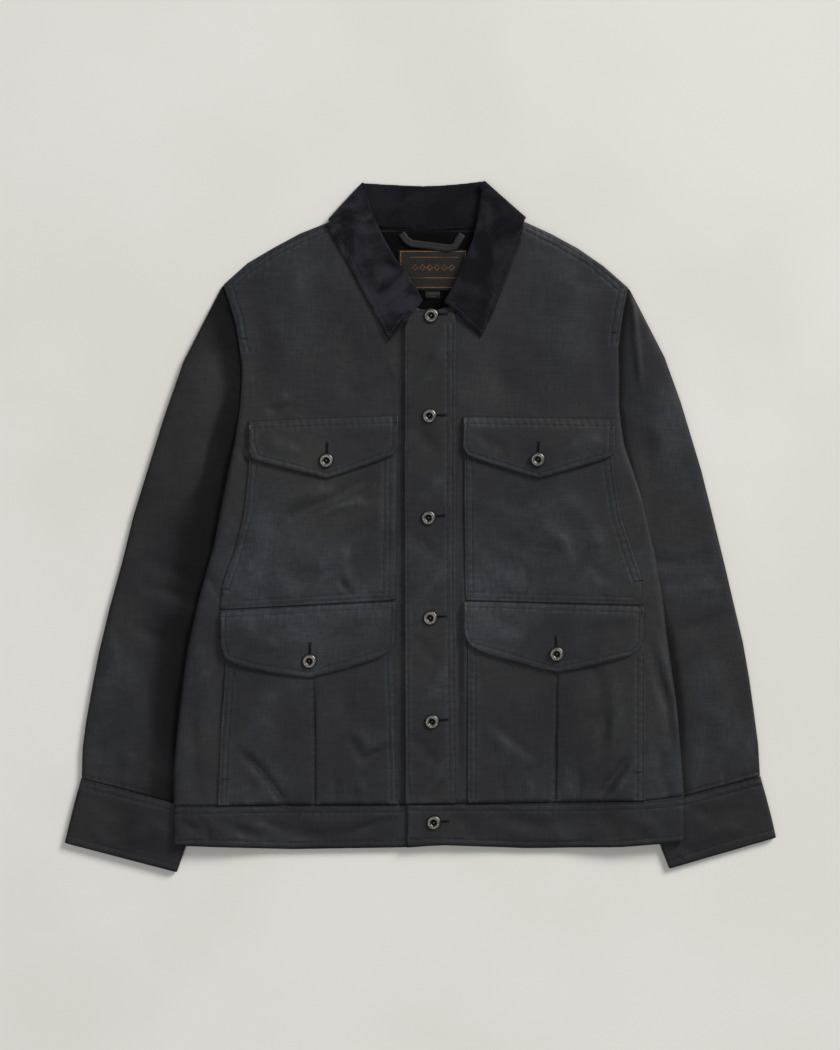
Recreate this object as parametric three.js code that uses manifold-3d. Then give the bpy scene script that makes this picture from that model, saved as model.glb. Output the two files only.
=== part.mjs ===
// A man's waxed cotton jacket, buttoned up and laid on its back on a flat surface.
// Millimetres. +X is toward the photo's right, +Y toward the collar, +Z up from the surface.
// Each cut piece is a thin wall of cloth; layers and seams keep a small gap.
import * as THREE from 'three';
import Module from 'manifold-3d';

const wasm = await Module();
wasm.setup();

// Cloth and gaps
const GAP = 0.3;
const LAID = 0.6;           // gap under a piece that lies on a curved panel
const RIM_GAP = 1.0;        // the turned rim of a front stands this far above what is under it
const PANEL = 2.0;          // outer cloth with its lining
const PATCH = 1.4;
const FLAP = 1.8;
const BAND = 2.3;           // cuffs and waistband, folded cloth
const CORD_CLOTH = 2.3;     // collar
const STRIP = 1.2;          // placket strip and hanger loop
const BODY_TOP = 7.5;       // top of the fronts where the body lies flat

// Sleeves under the body
const SLEEVE_TOP = 7.6;     // height of a flattened sleeve
const SLEEVE_TUCK = 4.3;    // its height where the armhole edge covers it
const SLEEVE_LIFT = 8.1;    // how far the body is lifted by a sleeve
const LIFT_RAMP = 90;       // width over which the lift fades to the floor
const ARMPIT_Y = 57;        // the lift is whole below this height
const ARMPIT_FADE = 85;     // and gone this far above it

// Neck and collar
const NECK_CENTRE = { x: 7, y: 305 };
const NECK_RAISE = 2.6;     // the collar's fall lies under the back neck
const NECK_NEAR = 95;
const NECK_FAR = 150;
const FALL_END_Y = 318;     // lower edge of the hidden fall
const STAND_FRONT = 13;     // width of the stand folded under each leaf

// Front overlap
const OVER_EDGE_X = -18;    // free edge of the front that laps on top
const UNDER_EDGE_X = 33;    // edge of the front beneath it
const OVERLAP_RAISE = 2.9;
const OVERLAP_FADE = 60;

// Pockets
const POCKET_LOFT = 1.2;    // fullness at the middle of a lower pocket
const PLEAT_DEPTH = 0.8;
const BUTTON_RADIUS = 8.25;

const COLOURS = {
  cloth: { color: 0x34363a, roughness: 0.62, metalness: 0 },
  cord: { color: 0x1d1c24, roughness: 0.9, metalness: 0 },
  lining: { color: 0x17171a, roughness: 0.9, metalness: 0 },
  label: { color: 0x45443f, roughness: 0.8, metalness: 0 },
  metal: { color: 0x55565a, roughness: 0.4, metalness: 0.9 },
};

// Outlines, one row for each bend, from the hem upward
const SIDE_EDGE = {
  right: [
    { x: -276, y: -312 }, { x: -275, y: -259 }, { x: -269, y: -202 }, { x: -261, y: -139 },
    { x: -247, y: -76 }, { x: -231, y: -21 }, { x: -221, y: 32 }, { x: -209, y: 90 },
    { x: -203, y: 130 }, { x: -201, y: 150 }, { x: -200, y: 177 }, { x: -202, y: 195 },
    { x: -205, y: 212 }, { x: -208, y: 232 }, { x: -214, y: 250 }, { x: -221, y: 271 },
  ],
  left: [
    { x: 295, y: -301 }, { x: 293, y: -273 }, { x: 287, y: -202 }, { x: 275, y: -116 },
    { x: 271, y: -76 }, { x: 263, y: -30 }, { x: 247, y: 36 }, { x: 227, y: 96 },
    { x: 223, y: 132 }, { x: 223, y: 170 }, { x: 222, y: 205 }, { x: 225, y: 223 },
    { x: 228, y: 245 }, { x: 233, y: 268 },
  ],
};
const SHOULDER = {
  right: [
    { x: -221, y: 271 }, { x: -212, y: 280 }, { x: -198, y: 293 }, { x: -180, y: 305 },
    { x: -135, y: 329 }, { x: -107, y: 340 }, { x: -73, y: 352 },
  ],
  left: [
    { x: 233, y: 268 }, { x: 212, y: 287 }, { x: 190, y: 305 }, { x: 156, y: 324 },
    { x: 123, y: 340 }, { x: 89, y: 352 },
  ],
};
const NECKLINE = {
  right: [
    { x: -73, y: 352 }, { x: -71, y: 330 }, { x: -51, y: 294 }, { x: -26, y: 260 },
    { x: -13, y: 246 }, { x: 8, y: 242 }, { x: UNDER_EDGE_X, y: 241 },
  ],
  left: [
    { x: 89, y: 352 }, { x: 87, y: 329 }, { x: 72, y: 292 }, { x: 56, y: 261 },
    { x: 43, y: 246 }, { x: 20, y: 242 }, { x: OVER_EDGE_X, y: 241 },
  ],
};
const BACK_NECK = [
  { x: -84, y: 345 }, { x: -70, y: 332 }, { x: 9, y: 331 }, { x: 80, y: 332 }, { x: 94, y: 345 },
];
const HEM_SEAM = [
  { x: -277, y: -312 }, { x: -15, y: -311 }, { x: 122, y: -309 }, { x: 188, y: -308 },
  { x: 252, y: -306 }, { x: 295, y: -301 },
];
const HEM = [
  { x: -276, y: -356 }, { x: -247, y: -357 }, { x: -147, y: -361 }, { x: -16, y: -359 },
  { x: 22, y: -356 }, { x: 122, y: -360 }, { x: 222, y: -358 }, { x: 295, y: -352 },
];

// Sleeves: each row is one section, from the armhole to the cuff seam
const SLEEVE = {
  right: [
    { outX: -212, outY: 278, inX: -166, inY: 63 },
    { outX: -223, outY: 269, inX: -166, inY: 52 },
    { outX: -242, outY: 232, inX: -163, inY: 32 },
    { outX: -266, outY: 185, inX: -161, inY: 7 },
    { outX: -288, outY: 122, inX: -161, inY: -30 },
    { outX: -306, outY: 64, inX: -165, inY: -68 },
    { outX: -322, outY: 12, inX: -172, inY: -104 },
    { outX: -335, outY: -41, inX: -180, inY: -138 },
    { outX: -349, outY: -92, inX: -190, inY: -170 },
    { outX: -361, outY: -142, inX: -201, inY: -200 },
    { outX: -369, outY: -184, inX: -213, inY: -228 },
    { outX: -375, outY: -218, inX: -224, inY: -254 },
    { outX: -379, outY: -248, inX: -236, inY: -282 },
    { outX: -380, outY: -281, inX: -249, inY: -316 },
  ],
  left: [
    { outX: 225, outY: 275, inX: 181, inY: 65 },
    { outX: 235, outY: 266, inX: 181, inY: 54 },
    { outX: 250, outY: 237, inX: 178, inY: 34 },
    { outX: 274, outY: 190, inX: 176, inY: 9 },
    { outX: 292, outY: 140, inX: 176, inY: -28 },
    { outX: 315, outY: 64, inX: 180, inY: -66 },
    { outX: 328, outY: 12, inX: 187, inY: -102 },
    { outX: 341, outY: -41, inX: 195, inY: -136 },
    { outX: 352, outY: -88, inX: 205, inY: -168 },
    { outX: 362, outY: -130, inX: 215, inY: -198 },
    { outX: 369, outY: -170, inX: 226, inY: -226 },
    { outX: 374, outY: -206, inX: 235, inY: -252 },
    { outX: 379, outY: -244, inX: 244, inY: -280 },
    { outX: 381, outY: -279, inX: 253, inY: -313 },
  ],
};
const CUFF = {
  right: [
    { outX: -380.5, outY: -281.8, inX: -249, inY: -316.8 },
    { outX: -388, outY: -309, inX: -256, inY: -340 },
    { outX: -394, outY: -333, inX: -265, inY: -364 },
    { outX: -399, outY: -354, inX: -273, inY: -387 },
  ],
  left: [
    { outX: 381.5, outY: -279.8, inX: 253, inY: -313.8 },
    { outX: 388, outY: -303, inX: 261, inY: -337 },
    { outX: 394, outY: -326, inX: 270, inY: -360 },
    { outX: 399, outY: -348, inX: 279, inY: -383 },
  ],
};

// Collar: each row is a station of a leaf, from its point to the top corner
const LEAF = {
  right: [
    { edgeX: -35, edgeY: 207, rollX: 3, rollY: 252 },
    { edgeX: -53, edgeY: 240, rollX: -6, rollY: 272 },
    { edgeX: -77, edgeY: 284, rollX: -31, rollY: 306 },
    { edgeX: -107, edgeY: 339, rollX: -47, rollY: 336 },
    { edgeX: -93, edgeY: 352, rollX: -57, rollY: 362 },
    { edgeX: -70, edgeY: 374, rollX: -62, rollY: 378 },
  ],
  left: [
    { edgeX: 69, edgeY: 211, rollX: 26, rollY: 252 },
    { edgeX: 86, edgeY: 248, rollX: 38, rollY: 271 },
    { edgeX: 101, edgeY: 287, rollX: 51, rollY: 302 },
    { edgeX: 122, edgeY: 341, rollX: 62, rollY: 332 },
    { edgeX: 105, edgeY: 353, rollX: 66, rollY: 362 },
    { edgeX: 77, edgeY: 377, rollX: 69, rollY: 380 },
  ],
};
// seamY is where the stand meets the back neck
const BACK_COLLAR = [
  { x: -63, topY: 386, seamY: 339 },
  { x: -30, topY: 384, seamY: 334 },
  { x: 2, topY: 382.5, seamY: 334 },
  { x: 36, topY: 384, seamY: 334 },
  { x: 69, topY: 388, seamY: 338 },
];
const FOLD_EDGE = {
  right: [{ x: -65, y: 387 }, { x: -85, y: 366 }, { x: -104.5, y: 344 }],
  left: [{ x: 71.5, y: 389 }, { x: 95, y: 368 }, { x: 119.5, y: 346.5 }],
};

// Pocket patches: each row is a level, from the top down
const CHEST_PATCH = {
  right: [
    { leftX: -191, leftY: 104, rightX: -26, rightY: 108 },
    { leftX: -192, leftY: 62, rightX: -26, rightY: 64 },
    { leftX: -197, leftY: 12, rightX: -26, rightY: 16 },
    { leftX: -210, leftY: -36, rightX: -27, rightY: -32 },
    { leftX: -221, leftY: -64, rightX: -28, rightY: -60 },
    { leftX: -223, leftY: -92, rightX: -29, rightY: -82 },
  ],
  left: [
    { leftX: 49, leftY: 110, rightX: 212, rightY: 108 },
    { leftX: 49, leftY: 64, rightX: 216, rightY: 64 },
    { leftX: 49, leftY: 16, rightX: 223, rightY: 12 },
    { leftX: 50, leftY: -32, rightX: 239, rightY: -34 },
    { leftX: 50, leftY: -60, rightX: 248, rightY: -60 },
    { leftX: 51, leftY: -82, rightX: 246, rightY: -87 },
  ],
};
const LOWER_PATCH = {
  right: [
    { leftX: -215, leftY: -110, rightX: -30, rightY: -102 },
    { leftX: -218, leftY: -160, rightX: -29, rightY: -156 },
    { leftX: -222, leftY: -212, rightX: -28, rightY: -210 },
    { leftX: -224, leftY: -262, rightX: -26, rightY: -262 },
    { leftX: -226, leftY: -311, rightX: -25, rightY: -310.5 },
  ],
  left: [
    { leftX: 53, leftY: -100, rightX: 248, rightY: -106 },
    { leftX: 53, leftY: -156, rightX: 252, rightY: -158 },
    { leftX: 53, leftY: -208, rightX: 252, rightY: -208 },
    { leftX: 53, leftY: -258, rightX: 252, rightY: -258 },
    { leftX: 53, leftY: -309.5, rightX: 251, rightY: -305.5 },
  ],
};
const PLEAT_X = { right: -122, left: 149.5 };

// Pocket flaps: top corners, the level where a side turns, and the point
const CHEST_FLAP = {
  right: { leftX: -192, leftY: 119, rightX: -25, rightY: 125, turn: 43, pointX: -104, pointY: 54, round: 9 },
  left: { leftX: 48, leftY: 124, rightX: 217, rightY: 122, turn: 43, pointX: 132, pointY: 54, round: 9 },
};
const LOWER_FLAP = {
  right: { leftX: -223, leftY: -93, rightX: -28, rightY: -83, turn: 58, pointX: -124, pointY: -169, round: 22 },
  left: { leftX: 49, leftY: -83, rightX: 249, rightY: -88, turn: 52, pointX: 152, pointY: -163, round: 22 },
};

// Buttons, by their centres
const FRONT_BUTTONS = [
  { x: 12, y: 236 }, { x: 10, y: 124 }, { x: 9, y: 10 },
  { x: 11, y: -102 }, { x: 13, y: -218 }, { x: 15, y: -331 },
];
const POCKET_BUTTONS = {
  chest: { right: { x: -105, y: 74 }, left: { x: 131, y: 75 } },
  lower: { right: { x: -124, y: -150 }, left: { x: 152, y: -142 } },
};

const part = new THREE.Group();

// Curves and easing
function smooth(t) {
  const c = Math.min(1, Math.max(0, t));
  return c * c * (3 - 2 * c);
}

function mix(a, b, t) {
  return a + (b - a) * t;
}

function lineAt(rows, t) {
  const lengths = [0];
  for (let i = 1; i < rows.length; i++) {
    const step = Math.hypot(rows[i].x - rows[i - 1].x, rows[i].y - rows[i - 1].y);
    lengths.push(lengths[i - 1] + step);
  }
  const want = Math.min(1, Math.max(0, t)) * lengths[lengths.length - 1];
  let i = 1;
  while (i < rows.length - 1 && lengths[i] < want) i += 1;
  const share = (want - lengths[i - 1]) / (lengths[i] - lengths[i - 1]);
  return {
    x: mix(rows[i - 1].x, rows[i].x, share),
    y: mix(rows[i - 1].y, rows[i].y, share),
  };
}

function valueAt(rows, key, at, value) {
  const up = rows[0][key] < rows[rows.length - 1][key];
  const sorted = up ? rows : [...rows].reverse();
  let i = 1;
  while (i < sorted.length - 1 && sorted[i][key] < value) i += 1;
  const share = (value - sorted[i - 1][key]) / (sorted[i][key] - sorted[i - 1][key]);
  return mix(sorted[i - 1][at], sorted[i][at], Math.min(1, Math.max(0, share)));
}

function sideOf(x) {
  return x < NECK_CENTRE.x ? 'right' : 'left';
}

function outward(side) {
  return side === 'right' ? -1 : 1;
}

// Heights of the layers
function armpitFade(y) {
  return 1 - smooth((y - ARMPIT_Y) / ARMPIT_FADE);
}

function sleeveLift(x, y) {
  const side = sideOf(x);
  const inner = valueAt(SLEEVE[side], 'inY', 'inX', y);
  const chord = valueAt([
    { x: SLEEVE[side][0].inX, y: SLEEVE[side][0].inY },
    { x: SLEEVE[side][0].outX, y: SLEEVE[side][0].outY },
  ], 'y', 'x', y);
  const edge = y > SLEEVE[side][0].inY ? chord : inner;
  const inboard = (edge - x) * outward(side);
  return SLEEVE_LIFT * armpitFade(y) * (1 - smooth((inboard - 12) / LIFT_RAMP));
}

function fallLift(x, y) {
  const along = smooth((y - (FALL_END_Y - 70)) / 60);
  const across = 1 - smooth((Math.abs(x - NECK_CENTRE.x) - 112) / 60);
  return NECK_RAISE * along * across;
}

function backUnder(x, y) {
  return sleeveLift(x, y) + fallLift(x, y);
}

function neckRaise(x, y) {
  const away = Math.hypot(x - NECK_CENTRE.x, y - NECK_CENTRE.y);
  return NECK_RAISE * (1 - smooth((away - NECK_NEAR) / (NECK_FAR - NECK_NEAR)));
}

function frontTop(x, y) {
  return BODY_TOP + sleeveLift(x, y) + Math.max(neckRaise(x, y), fallLift(x, y));
}

function overlapRaise(x) {
  return OVERLAP_RAISE * (1 - smooth((x - UNDER_EDGE_X - 3) / OVERLAP_FADE));
}

function overFrontTop(x, y) {
  return frontTop(x, y) + overlapRaise(x);
}

function topOf(side, x, y) {
  return side === 'left' ? overFrontTop(x, y) : frontTop(x, y);
}

function sleeveTop(side, x, y) {
  const edge = valueAt(SIDE_EDGE[side], 'y', 'x', y);
  const out = (x - edge) * outward(side);
  const tuck = (1 - armpitFade(y)) * (1 - smooth(out / 30));
  return SLEEVE_TOP - (SLEEVE_TOP - SLEEVE_TUCK) * tuck;
}

// Walls of cloth
function closedMesh(positions, triangles) {
  const geometry = new THREE.BufferGeometry();
  geometry.setAttribute('position', new THREE.Float32BufferAttribute(positions, 3));
  geometry.setIndex(triangles);
  let volume = 0;
  const a = new THREE.Vector3();
  const b = new THREE.Vector3();
  const c = new THREE.Vector3();
  const at = geometry.getAttribute('position');
  for (let i = 0; i < triangles.length; i += 3) {
    a.fromBufferAttribute(at, triangles[i]);
    b.fromBufferAttribute(at, triangles[i + 1]);
    c.fromBufferAttribute(at, triangles[i + 2]);
    volume += a.dot(b.cross(c));
  }
  if (volume < 0) {
    for (let i = 0; i < triangles.length; i += 3) {
      [triangles[i], triangles[i + 1]] = [triangles[i + 1], triangles[i]];
    }
    geometry.setIndex(triangles);
  }
  geometry.computeVertexNormals();
  return geometry;
}

// One wall between an outer and an inner grid of points; ring closes it across the columns
function wall(outer, inner, ring = false) {
  const rows = outer.length;
  const cols = outer[0].length;
  const positions = [];
  for (const grid of [outer, inner]) {
    for (const row of grid) {
      for (const p of row) positions.push(p.x, p.y, p.z);
    }
  }
  const outerAt = (r, c) => r * cols + (c % cols);
  const innerAt = (r, c) => rows * cols + r * cols + (c % cols);
  const triangles = [];
  const quad = (a, b, c, d) => triangles.push(a, b, c, a, c, d);
  const spans = ring ? cols : cols - 1;
  for (let r = 0; r < rows - 1; r++) {
    for (let c = 0; c < spans; c++) {
      quad(outerAt(r, c), outerAt(r, c + 1), outerAt(r + 1, c + 1), outerAt(r + 1, c));
      quad(innerAt(r, c), innerAt(r + 1, c), innerAt(r + 1, c + 1), innerAt(r, c + 1));
    }
  }
  for (let c = 0; c < spans; c++) {
    quad(outerAt(0, c), innerAt(0, c), innerAt(0, c + 1), outerAt(0, c + 1));
    quad(outerAt(rows - 1, c), outerAt(rows - 1, c + 1), innerAt(rows - 1, c + 1), innerAt(rows - 1, c));
  }
  if (!ring) {
    for (let r = 0; r < rows - 1; r++) {
      quad(outerAt(r, 0), outerAt(r + 1, 0), innerAt(r + 1, 0), innerAt(r, 0));
      quad(outerAt(r, cols - 1), innerAt(r, cols - 1), innerAt(r + 1, cols - 1), outerAt(r + 1, cols - 1));
    }
  }
  return closedMesh(positions, triangles);
}

// Inner points of a wall, moved in along the surface's own direction
function movedIn(grid, thickness, flip = 1) {
  const rows = grid.length;
  const cols = grid[0].length;
  const point = (r, c) => {
    const p = grid[Math.min(rows - 1, Math.max(0, r))][Math.min(cols - 1, Math.max(0, c))];
    return new THREE.Vector3(p.x, p.y, p.z);
  };
  return grid.map((row, r) => row.map((p, c) => {
    const across = point(r, c + 1).sub(point(r, c - 1));
    const along = point(r + 1, c).sub(point(r - 1, c));
    const normal = across.cross(along).normalize().multiplyScalar(flip * thickness);
    return { x: p.x - normal.x, y: p.y - normal.y, z: p.z - normal.z };
  }));
}

function lowered(grid, thickness) {
  return grid.map((row) => row.map((p) => ({ x: p.x, y: p.y, z: p.z - thickness })));
}

function addPiece(name, geometry, finish) {
  const mesh = new THREE.Mesh(geometry, new THREE.MeshStandardMaterial(COLOURS[finish]));
  mesh.name = name;
  part.add(mesh);
  return mesh;
}

function shares(count) {
  return Array.from({ length: count + 1 }, (_, i) => i / count);
}

// A four-sided patch between its edge lines; u runs across and v upward
function patchPoint(edges, u, v) {
  const bottom = edges.bottom(u);
  const top = edges.top(u);
  const start = edges.start(v);
  const end = edges.end(v);
  const corner = (key) => mix(
    mix(edges.bottom(0)[key], edges.bottom(1)[key], u),
    mix(edges.top(0)[key], edges.top(1)[key], u),
    v,
  );
  const at = (key) => mix(start[key], end[key], u) + mix(bottom[key], top[key], v) - corner(key);
  return { x: at('x'), y: at('y') };
}

// Front panels
function frontEdges(side) {
  const free = side === 'right' ? UNDER_EDGE_X : OVER_EDGE_X;
  const hemY = (x) => valueAt(HEM_SEAM, 'x', 'y', x) + GAP;
  const sideBottom = SIDE_EDGE[side][0];
  const top = [...SHOULDER[side], ...NECKLINE[side].slice(1)].reverse();
  const topEnd = NECKLINE[side][NECKLINE[side].length - 1];
  return {
    bottom: (u) => {
      const x = mix(free, sideBottom.x, u);
      return { x, y: hemY(x) };
    },
    top: (u) => lineAt(top, u),
    start: (v) => ({ x: free, y: mix(hemY(free), topEnd.y, v) }),
    end: (v) => lineAt([{ x: sideBottom.x, y: hemY(sideBottom.x) }, ...SIDE_EDGE[side].slice(1)], v),
  };
}

function rimHeight(side, x, y) {
  const tip = SHOULDER[side][0];
  const fromTip = Math.hypot(x - tip.x, y - tip.y);
  const seated = backUnder(x, y) + PANEL + RIM_GAP;
  const overSleeve = SLEEVE_TUCK + RIM_GAP;
  const nearArm = y > ARMPIT_Y ? 1 - smooth((fromTip - 24) / 24) : 1;
  const onArmhole = y < tip.y ? 1 : nearArm;
  const armRim = overSleeve + (SLEEVE_LIFT + PANEL + RIM_GAP - overSleeve) * armpitFade(y);
  return mix(seated, armRim, onArmhole);
}

function frontPanel(side) {
  const edges = frontEdges(side);
  const acrossCount = 10;
  const upCount = 26;
  const rollTurns = [30, 60, 88].map((degrees) => THREE.MathUtils.degToRad(degrees));
  const edgeRoll = (v) => {
    const p = edges.end(v);
    const rim = rimHeight(side, p.x, p.y);
    return { rim, drop: topOf(side, p.x, p.y) - rim };
  };
  const shoulderLength = SHOULDER[side].slice(1).reduce((sum, p, i) => (
    sum + Math.hypot(p.x - SHOULDER[side][i].x, p.y - SHOULDER[side][i].y)), 0);
  const neckLength = NECKLINE[side].slice(1).reduce((sum, p, i) => (
    sum + Math.hypot(p.x - NECKLINE[side][i].x, p.y - NECKLINE[side][i].y)), 0);
  const neckShare = neckLength / (neckLength + shoulderLength);
  const topRoll = (u) => {
    const p = edges.top(u);
    const height = topOf(side, p.x, p.y);
    const rolled = smooth((u - neckShare) / 0.04);
    const rim = mix(height, rimHeight(side, p.x, p.y), rolled);
    return { rim, drop: height - rim };
  };
  const grid = [];
  const vSteps = [
    ...shares(upCount).map((v) => ({ v, turn: 0 })),
    ...rollTurns.map((turn) => ({ v: 1, turn })),
  ];
  const uSteps = [
    ...shares(acrossCount).map((u) => ({ u, turn: 0 })),
    ...rollTurns.map((turn) => ({ u: 1, turn })),
  ];
  for (const up of vSteps) {
    const row = [];
    for (const across of uSteps) {
      const roughWidth = 250;
      const roughHeight = 570;
      const side0 = edgeRoll(up.v);
      const top0 = topRoll(across.u);
      const sideRoom = side0.drop / roughWidth;
      const topRoom = top0.drop / roughHeight;
      const u = across.u * (1 - sideRoom * (1 - Math.sin(across.turn)));
      const v = up.v * (1 - topRoom * (1 - Math.sin(up.turn)));
      const p = patchPoint(edges, u, v);
      const fall = Math.max(side0.drop * (1 - Math.cos(across.turn)), top0.drop * (1 - Math.cos(up.turn)));
      row.push({ x: p.x, y: p.y, z: topOf(side, p.x, p.y) - fall });
    }
    grid.push(row);
  }
  const flip = side === 'left' ? 1 : -1;
  addPiece(`front_${side}`, wall(grid, movedIn(grid, PANEL, flip)), 'cloth');
}

// Back panel: lies under everything, from the hem to the back neck
function backPanel() {
  const armhole = (side) => {
    const first = SLEEVE[side][0];
    const step = -outward(side) * 0.6;
    return [
      { x: first.inX + step * 2, y: first.inY - 6 },
      { x: first.inX + step, y: first.inY + 4 },
      { x: first.outX + step * 2, y: first.outY - 1.5 },
    ];
  };
  const edge = (side) => {
    const inset = -outward(side) * 4.4;
    const below = SIDE_EDGE[side].filter((row) => row.y < ARMPIT_Y - 16);
    const corner = { x: valueAt(SIDE_EDGE[side], 'y', 'x', ARMPIT_Y - 10) + inset, y: ARMPIT_Y - 10 };
    const rows = below.map((row) => ({ x: row.x + inset * 0.2, y: row.y }));
    return [...rows, { x: corner.x, y: corner.y }, ...armhole(side)];
  };
  const hemY = (x) => valueAt(HEM_SEAM, 'x', 'y', x) + GAP;
  const left = edge('right');
  const right = edge('left');
  left[0].y = hemY(left[0].x);
  right[0].y = hemY(right[0].x);
  const top = [
    left[left.length - 1],
    ...SHOULDER.right.slice(1, -1).map((p) => ({ x: p.x + 0.8, y: p.y - 2.2 })),
    ...BACK_NECK,
    ...[...SHOULDER.left].reverse().slice(1, -1).map((p) => ({ x: p.x - 0.8, y: p.y - 2.2 })),
    right[right.length - 1],
  ];
  const edges = {
    bottom: (u) => {
      const x = mix(left[0].x, right[0].x, u);
      return { x, y: hemY(x) };
    },
    top: (u) => lineAt(top, u),
    start: (v) => lineAt(left, v),
    end: (v) => lineAt(right, v),
  };
  const grid = shares(26).map((v) => shares(16).map((u) => {
    const p = patchPoint(edges, u, v);
    return { x: p.x, y: p.y, z: backUnder(p.x, p.y) + PANEL };
  }));
  addPiece('back_panel', wall(grid, lowered(grid, PANEL)), 'cloth');
}

// Sleeves and cuffs: flattened tubes open at both ends
function tubeSection(row, heightAt, thickness) {
  const acrossCount = 7;
  const across = { x: row.inX - row.outX, y: row.inY - row.outY };
  const width = Math.hypot(across.x, across.y);
  const unit = { x: across.x / width, y: across.y / width };
  const outer = [];
  const inner = [];
  const place = (list, away, z) => {
    list.push({ x: row.outX + unit.x * away, y: row.outY + unit.y * away, z });
  };
  const endTurns = [45, 0, -45];
  const half = (away) => heightAt(row.outX + unit.x * away, row.outY + unit.y * away) / 2;
  const ends = [
    { away: 0, sign: 1, turns: [...endTurns].reverse() },
    { away: width, sign: -1, turns: endTurns },
  ];
  const round = (end) => {
    const r = half(end.away);
    for (const degrees of end.turns) {
      const turn = THREE.MathUtils.degToRad(degrees);
      place(outer, end.away + end.sign * (r - r * Math.cos(turn)), r + r * Math.sin(turn));
      const ri = r - thickness;
      place(inner, end.away + end.sign * (r - ri * Math.cos(turn)), r + ri * Math.sin(turn));
    }
  };
  round(ends[0]);
  const roomOut = half(0);
  const roomIn = half(width);
  for (const s of shares(acrossCount)) {
    const away = mix(roomOut, width - roomIn, s);
    const top = 2 * half(away);
    place(outer, away, top);
    place(inner, away, top - thickness);
  }
  round(ends[1]);
  for (const s of shares(acrossCount).reverse()) {
    const away = mix(roomOut, width - roomIn, s);
    place(outer, away, 0);
    place(inner, away, thickness);
  }
  return { outer, inner };
}

function tube(name, rows, heightAt, thickness) {
  const sections = rows.map((row) => tubeSection(row, heightAt, thickness));
  const geometry = wall(sections.map((s) => s.outer), sections.map((s) => s.inner), true);
  addPiece(name, geometry, 'cloth');
}

// Waistband: one strip round the hem, lapped at the front
function waistband() {
  const levels = shares(3);
  const bandTop = (side, x, y) => topOf(side, x, y) + BAND - PANEL;
  const rightX = -276;
  const leftX = 295;
  const radius = (BODY_TOP + BAND - PANEL) / 2;
  const turns = [30, 60, 90, 120, 150].map((degrees) => THREE.MathUtils.degToRad(degrees));
  const yAt = (x, level) => mix(valueAt(HEM_SEAM, 'x', 'y', x) - GAP, valueAt(HEM, 'x', 'y', x), level);
  const grid = levels.map((level) => {
    const row = [];
    const flat = (side, fromX, toX, count) => {
      for (const s of shares(count)) {
        const x = mix(fromX, toX, s);
        const y = yAt(x, level);
        row.push({ x, y, z: bandTop(side, x, y) });
      }
    };
    const roll = (edgeX, sign, list) => {
      const y = yAt(edgeX, level);
      const base = SLEEVE_LIFT;
      for (const turn of list) {
        const x = edgeX + sign * (radius - radius * Math.sin(turn));
        row.push({ x, y, z: base + radius + radius * Math.cos(turn) });
      }
    };
    flat('left', OVER_EDGE_X + 3, leftX - radius, 14);
    roll(leftX, -1, turns);
    for (const s of shares(22)) {
      const x = mix(leftX - radius, rightX + radius, s);
      const y = yAt(x, level);
      row.push({ x, y, z: backUnder(x, y) });
    }
    roll(rightX, 1, [...turns].reverse());
    flat('right', rightX + radius, UNDER_EDGE_X - 2, 14);
    return row;
  });
  addPiece('waistband', wall(grid, movedIn(grid, BAND, -1)), 'cloth');
}

// Placket strip along the free edge of the front that laps on top
function placket() {
  const top = NECKLINE.left[NECKLINE.left.length - 1].y;
  const levels = 26;
  const acrossSteps = [0, 0.34, 0.67, 1];
  const width = 57;
  const grid = shares(levels).map((v) => acrossSteps.map((u) => {
    const x = OVER_EDGE_X + 0.4 + width * u;
    const y = mix(valueAt(HEM_SEAM, 'x', 'y', x) + 1, top - 1, v);
    return { x, y, z: overFrontTop(x, y) + LAID + STRIP };
  }));
  addPiece('placket', wall(grid, lowered(grid, STRIP)), 'cloth');
}

// Pockets
function pocketLoft(u, v, share) {
  const acrossShare = Math.sin(Math.PI * Math.min(1, Math.max(0, u)));
  const upShare = Math.sin(Math.PI * Math.min(1, v * 0.9 + 0.1));
  return POCKET_LOFT * share * Math.max(0, acrossShare * upShare);
}

function patchGrid(side, rows, uSteps, loft) {
  const left = rows.map((row) => ({ x: row.leftX, y: row.leftY }));
  const right = rows.map((row) => ({ x: row.rightX, y: row.rightY }));
  return shares(12).map((v) => uSteps.map((u) => {
    const a = lineAt(left, v);
    const b = lineAt(right, v);
    const x = mix(a.x, b.x, u);
    const y = mix(a.y, b.y, u);
    return { x, y, z: topOf(side, x, y) + LAID + PATCH + pocketLoft(u, v, loft) };
  }));
}

function pocketPatch(name, side, rows, loft, pleatX = null) {
  const uSteps = shares(8);
  if (pleatX !== null) {
    const last = rows[rows.length - 1];
    const centre = (pleatX - last.leftX) / (last.rightX - last.leftX);
    const width = last.rightX - last.leftX;
    const steps = shares(8).filter((u) => Math.abs(u - centre) > 0.05);
    for (const off of [-2.5, 0, 2.5]) steps.push(centre + off / width);
    uSteps.splice(0, uSteps.length, ...steps.sort((p, q) => p - q));
  }
  const grid = patchGrid(side, rows, uSteps, loft);
  const under = lowered(grid, PATCH);
  if (pleatX !== null) {
    const last = rows[rows.length - 1];
    const centre = (pleatX - last.leftX) / (last.rightX - last.leftX);
    const column = uSteps.findIndex((u) => Math.abs(u - centre) < 1e-6);
    for (const row of grid) row[column].z -= PLEAT_DEPTH;
  }
  addPiece(name, wall(grid, under), 'cloth');
}

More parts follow.
